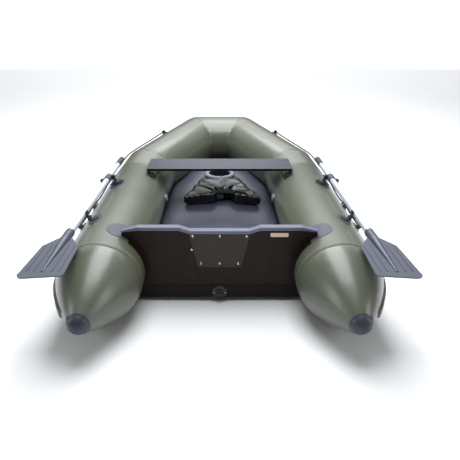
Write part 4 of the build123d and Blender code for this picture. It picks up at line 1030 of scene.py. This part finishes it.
def strand_tree():
    """Twists a number of strands round a curve to make a laid rope."""
    inputs = (
        ("Diameter", "NodeSocketFloat", 0.008),
        ("Lay", "NodeSocketFloat", 0.03),
        ("Strands", "NodeSocketInt", 3),
        ("Step", "NodeSocketFloat", 0.002),
        ("Finish", "NodeSocketMaterial", None),
    )
    tree = Tree("Dinghy Laid Rope", inputs)
    line, step = tree.given("Geometry"), tree.given("Step")
    strands, diameter = tree.given("Strands"), tree.given("Diameter")
    fine = tree.add("GeometryNodeResampleCurve", {"mode": "LENGTH"}, Curve=line, Length=step)
    by_spline = {"domain": "SPLINE"}
    copies = tree.add("GeometryNodeDuplicateElements", by_spline, Geometry=fine.outputs[0], Amount=strands)
    length = tree.add("GeometryNodeSplineParameter").outputs["Length"]
    share = tree.maths("DIVIDE", copies.outputs["Duplicate Index"], strands)
    turns = tree.maths("ADD", tree.maths("DIVIDE", length, tree.given("Lay")), share)
    angle = tree.maths("MULTIPLY", turns, 2 * math.pi)
    normal = tree.add("GeometryNodeInputNormal").outputs[0]
    tangent = tree.add("GeometryNodeInputTangent").outputs[0]
    across = tree.vectors("CROSS_PRODUCT", tangent, normal)
    beside = tree.scaled(normal, tree.maths("COSINE", angle))
    outward = tree.vectors("ADD", beside, tree.scaled(across, tree.maths("SINE", angle)))
    offset = tree.scaled(outward, tree.maths("MULTIPLY", diameter, STRAND_OFFSET))
    moved = tree.add("GeometryNodeSetPosition", Geometry=copies.outputs[0], Offset=offset)
    radius = tree.maths("MULTIPLY", diameter, STRAND_RADIUS)
    profile = tree.add("GeometryNodeCurvePrimitiveCircle", Resolution=8, Radius=radius).outputs[0]
    rope = tree.add("GeometryNodeCurveToMesh", Curve=moved.outputs[0], Profile_Curve=profile, Fill_Caps=True)
    return tree.finish(rope.outputs[0], tree.given("Finish"))


def run_tree(name, holder, tree, **values):
    """Runs a tree on a piece, sets its named inputs first, and returns a plain mesh piece."""
    modifier = holder.modifiers.new("Pattern", "NODES")
    modifier.node_group = tree
    for item in tree.interface.items_tree:
        if item.item_type == "SOCKET" and item.in_out == "INPUT" and item.name in values:
            modifier[item.identifier] = values[item.name]
    mesh = evaluated_mesh(holder)
    holder.modifiers.remove(modifier)
    mesh.name = name
    return add_object(name, mesh)


def make_rope(name, points, diameter, lay, tree):
    """Laid rope along a route; returns the piece and the smooth line that it follows."""
    route = route_curve(f"{name}_route", points)
    line = [v.co[:] for v in evaluated_mesh(route).vertices]
    sizes = {"Diameter": diameter, "Lay": lay, "Strands": settings().rope.strands, "Step": diameter / 4}
    rope = run_tree(name, route, tree, Finish=finish_of("rope_black"), **sizes)
    bpy.data.objects.remove(route)
    return rope, line


class DINGHY_OT_ropes(bpy.types.Operator):
    """Grab lines on both sides and the plug's tether"""

    bl_idname = "dinghy.ropes"
    bl_label = "Ropes"

    def execute(self, context):
        sizes, wall, tree = settings().rope, tube_wall(), strand_tree()
        for name, side in SIDES:
            points = []
            for stretch, distance, angle, height in GRAB_ROUTE:
                c, s = math.cos(math.radians(angle)), math.sin(math.radians(angle))
                ring = wall.outward[stretch] * c + wall.up[stretch] * s
                point = wall.corners[stretch] + wall.along[stretch] * distance / 1000
                points.append((point + ring * (wall.radius + height / 1000)) * [side, 1, 1])
            rope, line = make_rope(f"grab_rope_{name}", points, sizes.grab_diameter, sizes.lay, tree)
            finished(rope, "rope_black", "hull", f"grab_line_{name}")
        board_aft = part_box("transom_board")[0].y
        points = [(x / 1000, board_aft - off / 1000, z / 1000) for x, z, off in TETHER_ROUTE]
        tether, line = make_rope("tether_cord", points, sizes.tether_diameter, sizes.lay / 2.5, tree)
        finished(tether, "rope_black", "hull", "plug_tether")
        return {"FINISHED"}


# ---- seat ----
SEAT_EDGE = 0.006
SEAT_MARGIN = 0.012
SEAT_END = 0.004
SEAT_END_PINCH = 0.12
RIB_GAP = 0.0035
RIB_FLANK = 0.0012


class DINGHY_OT_seat(bpy.types.Operator):
    """Bench with ribs along its top and closed ends"""

    bl_idname = "dinghy.seat"
    bl_label = "Bench seat"

    def execute(self, context):
        soft = settings().soft
        low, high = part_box("seat_board")
        edge, groove, ribs = SEAT_EDGE, soft.seat_groove, soft.seat_ribs
        start, end = low.y + SEAT_MARGIN, high.y - SEAT_MARGIN
        pitch = (end - start) / ribs
        top = []
        for k in range(ribs):
            y = start + k * pitch
            gap = RIB_GAP if k else 0.0
            top += [(y + gap, high.z - (groove if k else 0)), (y + gap + RIB_FLANK, high.z)]
            top += [(y + pitch - RIB_FLANK, high.z), (y + pitch, high.z - (groove if k < ribs - 1 else 0))]
        aft = [(low.y + edge * (1 - math.cos(a)), low.z + edge * (1 - math.sin(a))) for a in (1.57, 0.8, 0.0)]
        aft += [(low.y + edge * (1 - math.cos(a)), high.z - edge * (1 - math.sin(a))) for a in (0.0, 0.8)]
        fore = [(low.y + high.y - y, z) for y, z in reversed(aft)]
        section = aft + top + fore
        stations = [low.x, low.x + 0.0015, low.x + SEAT_END, high.x - SEAT_END, high.x - 0.0015, high.x]
        middle = (low.z + high.z) / 2
        rings = []
        for x in stations:
            room = min(x - low.x, high.x - x)
            share = 1.0 - SEAT_END_PINCH * max(0.0, 1 - room / SEAT_END) ** 2
            rings.append([(x, y, middle + (z - middle) * share) for y, z in section])
        bench = closed_tube("bench", np.array(rings))
        add_bevel(bench, width=0.0007, segments=2, angle=30)
        finished(bench, "seat_grey", "seat", "seat_board")
        # The faces of the aft edge that turn aft take a near-black copy of the seat's finish: painted shade
        # on the side turned from the light.
        bench.data.materials.append(finish_of("seat_edge_painted_shade"))
        for polygon in bench.data.polygons:
            polygon.material_index = int(polygon.normal.y < -0.4 and polygon.center.y < low.y + edge)
        return {"FINISHED"}


# ---- bag ----
def inflate(piece, voxel, pressure, frames, cap):
    """Swells a closed soft piece with a short cloth simulation, and limits how far it moves."""
    remesh = piece.modifiers.new("Even mesh", "REMESH")
    remesh.mode = "VOXEL"
    remesh.voxel_size = voxel
    mesh = evaluated_mesh(piece)
    piece.modifiers.remove(remesh)
    piece.data = mesh
    before = np.array([v.co for v in mesh.vertices])
    cloth = piece.modifiers.new("Cloth", "CLOTH")
    cloth.settings.use_pressure = True
    cloth.settings.uniform_pressure_force = pressure
    cloth.settings.effector_weights.gravity = 0
    scene = bpy.context.scene
    for step in range(1, frames + 1):
        scene.frame_set(step)
    after = np.array([v.co for v in evaluated_mesh(piece).vertices])
    piece.modifiers.remove(cloth)
    scene.frame_set(1)
    move = after - before
    reach = np.linalg.norm(move, axis=1, keepdims=True)
    move *= np.minimum(1.0, cap / np.maximum(reach, 1e-9))
    mesh.vertices.foreach_set("co", (before + move).ravel())
    smooth_shaded(mesh)
    mesh.update()


def bell(value, width):
    return math.exp(-((value / width) ** 2))


def clamped(value):
    return max(0.0, min(1.0, value))


def circle(count):
    """Angles of a full turn in equal steps."""
    return [2 * math.pi * i / count for i in range(count)]


# The bag's waist, where its strap pinches it: starboard of the middle, and half its width.
WAIST_X = 0.014
WAIST_HALF = 0.05
BAG_LEAN = 0.016
BAG_CLEARANCE = 0.002
BAG_SWELL = 0.1
# Shares of the bag's length: where it starts to narrow or flatten, and over how much.
NARROW_FROM, NARROW_SPAN = 0.12, 0.76
MOUTH_FROM, MOUTH_SPAN = 0.72, 0.2
MOUTH_FLATTENING = 0.4
# The strap's pinch in the base: how far it flattens and reaches, and the dent that it draws in.
PINCH_FLATTENING, PINCH_REACH = 0.82, 0.17
DENT_DEPTH, DENT_REACH = 0.075, 0.12


def bag_half_width(share):
    """Half width of the bag from its base to its mouth."""
    soft = settings().soft
    narrowing = clamped((share - NARROW_FROM) / NARROW_SPAN)
    return soft.bag_half + (soft.mouth_half - soft.bag_half) * narrowing


def bag_point(share, around):
    """Point of the bag's shell: share runs from base to mouth, around is an angle."""
    soft = settings().soft
    c, s = math.cos(around), math.sin(around)
    reach = (c**4 + s**4) ** 0.25
    x = bag_half_width(share) * c / reach
    waist = math.exp(-(((x - WAIST_X) / WAIST_HALF) ** 4))
    pinch = waist * bell(share, PINCH_REACH)
    dent = DENT_DEPTH * waist * bell(share, DENT_REACH)
    y = SEAM_Y + soft.bag_start + share * soft.bag_length + dent
    mouth = clamped((share - MOUTH_FROM) / MOUTH_SPAN)
    swell = 1 + BAG_SWELL * math.sin(math.pi * share)
    height = soft.bag_height * swell * (1 - PINCH_FLATTENING * pinch) * (1 - MOUTH_FLATTENING * mouth)
    lift = (0.5 + 0.5 * s / reach) * height
    x += BAG_LEAN * (1 - share)
    return Vector((x, y, floor_height(x, y) + BAG_CLEARANCE + lift))


# Folds that fan out from the strap, and the finer ones between them.
FAN_CENTRE = 0.05
FAN_START = 0.05
FAN_REACH = 0.26
FAN_FOLDS = 4.5
FAN_WANDER = 2.2
FAN_DEPTH = 0.011
FINE_DEPTH = 0.004


def fold_depth(point):
    """Height of the folds that fan out from the strap in the middle of the base."""
    soft = settings().soft
    centre = Vector((0, SEAM_Y + soft.bag_start + FAN_CENTRE, 0))
    away = Vector((point.x, point.y, 0)) - centre
    reach = away.length
    angle = math.atan2(away.y, away.x)
    wander = noise.noise(Vector((point.x * 9, point.y * 9, 1.7)))
    fan = 1 - abs(math.sin(angle * FAN_FOLDS + wander * FAN_WANDER))
    fine = 1 - abs(noise.noise(Vector((point.x * 11, point.y * 11, point.z * 9))))
    broad = FAN_DEPTH * fan**2 * min(1.0, reach / FAN_START) * bell(reach, FAN_REACH)
    return (broad + FINE_DEPTH * fine**4) - FINE_DEPTH


BAG_ROWS = 64
BAG_COLUMNS = 120
# Collar at the mouth: share of the bag's length less a distance, rise in bag heights,
# width as a share of the mouth's, depth, tilt, and the half sizes of its roll.
COLLAR_COLUMNS, COLLAR_ROLL_COLUMNS = 96, 16
COLLAR_AT, COLLAR_BACK, COLLAR_RISE = 0.84, 0.04, 1.17
COLLAR_WIDE, COLLAR_DEEP, COLLAR_TILT = 0.84, 0.040, 0.35
ROLL_WIDE, ROLL_DEEP, ROLL_HIGH = 0.017, 0.014, 0.013
# Dark disc inside the collar that stands for the opening, as shrinking rings, each a little lower; its
# darker, sheenless finish paints the shade deep in the bag.
LINING_COLUMNS = 48
LINING_RINGS = (0.93, 0.7, 0.4, 0.02)
LINING_WIDE, LINING_DEEP, LINING_TILT = 0.76, 0.033, 0.3
LINING_RISE, LINING_STEP = 0.009, 0.001
STRAP_HALF = 0.026
TAIL_HALF = 0.014
# Middle lines of the strap and its tail: starboard, forward of the bag's base, above the floor.
STRAP_LINE = ((0.0, 0.036, 0.014), (0.0, 0.046, 0.036), (0.0, 0.066, 0.052), (0.0, 0.11, 0.068))
TAIL_LINE = ((-0.02, 0.06, 0.056), (0.02, 0.055, 0.057), (0.06, 0.045, 0.06), (0.1, 0.04, 0.063))
# Eyelets: place to starboard, distance forward of the base, rise in bag heights, and section
# as radius and height.
EYELETS = (("left", -0.034), ("right", 0.034))
EYELET_FORWARD = 0.125
EYELET_RISE = 1.06
EYELET_SECTION = (
    (0.0105, 0.004), (0.009, 0.0065), (0.006, 0.0065), (0.0045, 0.002), (0.0045, -0.002), (0.0105, -0.002)
)


class DINGHY_OT_bag(bpy.types.Operator):
    """Carry bag that lies on the floor, with its collar, strap and eyelets"""

    bl_idname = "dinghy.bag"
    bl_label = "Carry bag"

    def execute(self, context):
        soft = settings().soft
        shares = [0.0, 0.007] + [k / BAG_ROWS for k in range(1, BAG_ROWS + 1)]
        points = [bag_point(share, turn) for share in shares for turn in circle(BAG_COLUMNS)]
        faces = grid_faces(len(shares), BAG_COLUMNS, closed_columns=True)
        for first in (0, (len(shares) - 1) * BAG_COLUMNS):
            for j in range(BAG_COLUMNS // 2):
                strip = (j, j + 1, BAG_COLUMNS - j - 1, (BAG_COLUMNS - j) % BAG_COLUMNS)
                faces.append(tuple(first + v for v in dict.fromkeys(strip)))
        shell = mesh_piece("bag_shell", points, faces)
        inflate(shell, voxel=0.005, pressure=1.2, frames=12, cap=0.003)
        self.crease(shell)
        add_subdivision(shell, 1)
        finished(shell, "bag_nylon", "hull", "carry_bag")
        self.collar(soft)
        self.strap(soft)
        return {"FINISHED"}

    def crease(self, shell):
        """Raises folds on the upper side and seats the lower side on the floor."""
        mesh = shell.data
        normals = [v.normal.copy() for v in mesh.vertices]
        for vertex, normal in zip(mesh.vertices, normals):
            upper = clamped((normal.z + 0.2) / 0.5)
            base = clamped((vertex.co.y - SEAM_Y - settings().soft.bag_start - 0.004) / 0.02)
            vertex.co += normal * fold_depth(vertex.co) * upper * base
            rest = floor_height(vertex.co.x, vertex.co.y) + 0.001
            vertex.co.z = max(vertex.co.z, rest)
        mesh.update()

    def collar(self, soft):
        """Gathered ring at the mouth round a dark disc whose finish paints the opening's shade."""
        y = SEAM_Y + soft.bag_start + soft.bag_length * COLLAR_AT - COLLAR_BACK
        height = floor_height(0, y) + soft.bag_height * COLLAR_RISE
        rings = []
        for a in circle(COLLAR_COLUMNS):
            ripple = 1 + 0.05 * math.sin(11 * a + math.sin(3 * a)) + 0.03 * math.sin(23 * a)
            ring = []
            for b in circle(COLLAR_ROLL_COLUMNS):
                wide = soft.mouth_half * COLLAR_WIDE + ROLL_WIDE * math.cos(b) * ripple
                deep = COLLAR_DEEP + ROLL_DEEP * math.cos(b) * ripple
                t = deep * math.sin(a)
                z = ROLL_HIGH * math.sin(b) * ripple + COLLAR_TILT * t
                ring.append((wide * math.cos(a), y + t, height + z))
            rings.append(ring)
        finished(grid_piece("bag_collar", rings, True, True), "bag_nylon", "hull", finish="bag_collar")
        hole = []
        for k, share in enumerate(LINING_RINGS):
            for a in circle(LINING_COLUMNS):
                x, t = soft.mouth_half * LINING_WIDE * share * math.cos(a), LINING_DEEP * share * math.sin(a)
                hole.append((x, y + t, height + LINING_RISE - LINING_STEP * k + LINING_TILT * t))
        faces = grid_faces(len(LINING_RINGS), LINING_COLUMNS, True)
        faces.append(tuple(range(len(hole) - LINING_COLUMNS, len(hole))))
        # The disc is the bag's black nylon made darker and without sheen: painted shade for the deep opening.
        lining = solid_sheet(mesh_piece("bag_lining", hole, faces), 0.001)
        finished(lining, "bag_nylon", "hull", finish="bag_mouth_painted_shade")

    def strap(self, soft):
        """Flat strap over the pinch of the base, its tail lying to starboard, and two eyelets."""
        base = SEAM_Y + soft.bag_start
        self.band("bag_strap", base, STRAP_LINE, Vector((1, 0, 0)), STRAP_HALF)
        self.band("bag_strap_tail", base, TAIL_LINE, Vector((0, 0.9, 0.35)).normalized(), TAIL_HALF)
        y = base + EYELET_FORWARD
        for name, x in EYELETS:
            middle = Vector((x, y, floor_height(x, y) + soft.bag_height * EYELET_RISE))
            eyelet = [
                [middle + Vector((math.cos(a) * r, math.sin(a) * r, z)) for a in circle(24)]
                for r, z in EYELET_SECTION
            ]
            ring = grid_piece(f"bag_eyelet_{name}", eyelet, True, True)
            finished(ring, "bag_nylon", "hull", finish="black_rubber")

    def band(self, name, base, line, across, half):
        """Flat webbing along a line of points given forward of the base and above the floor."""
        rows = []
        for x, forward, z in line:
            middle = Vector((x, base + forward, floor_height(x, base + forward) + z))
            rows.append([middle + across * half * share for share in (-1, -0.5, 0, 0.5, 1)])
        webbing = solid_sheet(grid_piece(name, rows), 0.002, offset=1.0)
        add_subdivision(webbing, 2)
        finished(webbing, "bag_nylon", "hull", finish="bag_strap")


# ---- stage ----
STAGE_CORNERS = ((-7, -7, 0), (7, -7, 0), (7, 8, 0), (-7, 8, 0))
SENSOR_WIDTH = 36
LIGHT_COLOUR = (0.95, 0.975, 1.0)
SKY_COLOUR = (0.94, 0.97, 1, 1)
SKY_SEEN = 1.08
# Softboxes: name, place, target, size, and the setting that holds the power.
LIGHTS = (
    ("overhead", (0, 0.9, 3.3), (0, 0.9, 0), (2.2, 4.4), "overhead"),
    ("side_right", (3.6, -1.6, 1.5), (0, -0.2, 0.2), (0.9, 2.4), "side"),
    ("side_left", (-3.6, -1.6, 1.5), (0, -0.2, 0.2), (0.9, 2.4), "side"),
    ("backdrop", (0, 9.0, 6.0), (0, 9.6, 0), (16.0, 9.0), "backdrop"),
)


def area_light(name, place, target, size, power):
    light = bpy.data.lights.new(name, "AREA")
    light.shape = "RECTANGLE"
    light.size, light.size_y = size
    light.energy = power
    light.color = LIGHT_COLOUR
    holder = add_object(name, light)
    holder.location = place
    holder.rotation_euler = (Vector(target) - Vector(place)).to_track_quat("-Z", "Y").to_euler()


def surroundings(ambient):
    """World that lights the object softly and looks white to the camera."""
    world = bpy.data.worlds.new("studio")
    world.use_nodes = True
    nodes, links = world.node_tree.nodes, world.node_tree.links
    background = nodes["Background"]
    background.inputs["Color"].default_value = SKY_COLOUR
    strength = nodes.new("ShaderNodeMapRange")
    strength.inputs["To Min"].default_value = ambient
    strength.inputs["To Max"].default_value = SKY_SEEN
    links.new(nodes.new("ShaderNodeLightPath").outputs["Is Camera Ray"], strength.inputs["Value"])
    links.new(strength.outputs["Result"], background.inputs["Strength"])
    return world


class DINGHY_OT_stage(bpy.types.Operator):
    """Pale floor, soft lights and the camera"""

    bl_idname = "dinghy.stage"
    bl_label = "Stage"

    def execute(self, context):
        stage = settings().stage
        scene = context.scene
        camera = add_object("camera", bpy.data.cameras.new("camera"))
        camera.location = (0, SEAM_Y - stage.camera_back, stage.camera_height)
        camera.rotation_euler = (math.pi / 2 - stage.camera_dip, 0, 0)
        camera.data.lens = stage.lens
        camera.data.sensor_width = SENSOR_WIDTH
        camera.data.shift_x = stage.shift
        scene.camera = camera

        floor = mesh_piece("studio_floor", STAGE_CORNERS, [(0, 1, 2, 3)])
        sheet = Finish("studio_floor_finish", specular=0.1, roughness=0.9)
        mottle = noise_node(sheet.tree, sheet.coordinates, 2.0)
        sheet.colour(mottle, settings().colours.stage, shade(settings().colours.stage, 1.01))
        floor.data.materials.append(sheet.material)

        for name, spot, target, size, setting in LIGHTS:
            area_light(name, spot, target, size, getattr(stage, setting))
        scene.world = surroundings(stage.ambient)
        scene.view_settings.view_transform = "Standard"
        return {"FINISHED"}


# ---- carried-over nodes ----
NODE_FINISHES = {
    "seam_tapes": "seam_tape",
    "stern_caps": "stern_cap",
    # The flanges take the dark hem finish instead of the patch finish: painted shade, as they sit in the
    # shade beside the cones.
    "transom_flanges": "bottom_pvc",
    "oar_blade_left": "blade_plastic",
    "oar_blade_right": "blade_plastic",
}


class DINGHY_OT_hard_parts(bpy.types.Operator):
    """Finishes for the rigid pieces"""

    bl_idname = "dinghy.hard_parts"
    bl_label = "Hard parts"

    def execute(self, context):
        slots = {row["node"]: row["material_slot"] for row in frame["record"]["subparts"]}
        for node, piece in frame["nodes"].items():
            dress(piece, NODE_FINISHES.get(node, slots[node]))
        return {"FINISHED"}


class DINGHY_PT_panel(bpy.types.Panel):
    """Lists the steps that build the dinghy's looks"""

    bl_idname = "DINGHY_PT_panel"
    bl_label = "Dinghy"
    bl_space_type = "VIEW_3D"
    bl_region_type = "UI"
    bl_category = "Dinghy"

    def draw(self, context):
        for step in STEPS:
            self.layout.operator(step.bl_idname)


STEPS = (
    DINGHY_OT_stage,
    DINGHY_OT_hard_parts,
    DINGHY_OT_ropes,
    DINGHY_OT_tube_skins,
    DINGHY_OT_cone_skins,
    DINGHY_OT_seam_strips,
    DINGHY_OT_strakes,
    DINGHY_OT_air_floor,
    DINGHY_OT_seat,
    DINGHY_OT_bag,
)
GROUPS = (DinghyTube, DinghySoft, DinghyRope, DinghyColours, DinghyStage, DinghySettings)
CLASSES = (*GROUPS, *STEPS, DINGHY_PT_panel)


def register():
    for cls in CLASSES:
        bpy.utils.register_class(cls)
    bpy.types.Scene.dinghy = PointerProperty(type=DinghySettings)


def unregister():
    del bpy.types.Scene.dinghy
    for cls in reversed(CLASSES):
        bpy.utils.unregister_class(cls)


def main():
    register()
    for step in STEPS:
        group, _, name = step.bl_idname.partition(".")
        getattr(getattr(bpy.ops, group), name)()


if __name__ == "__main__":
    main()
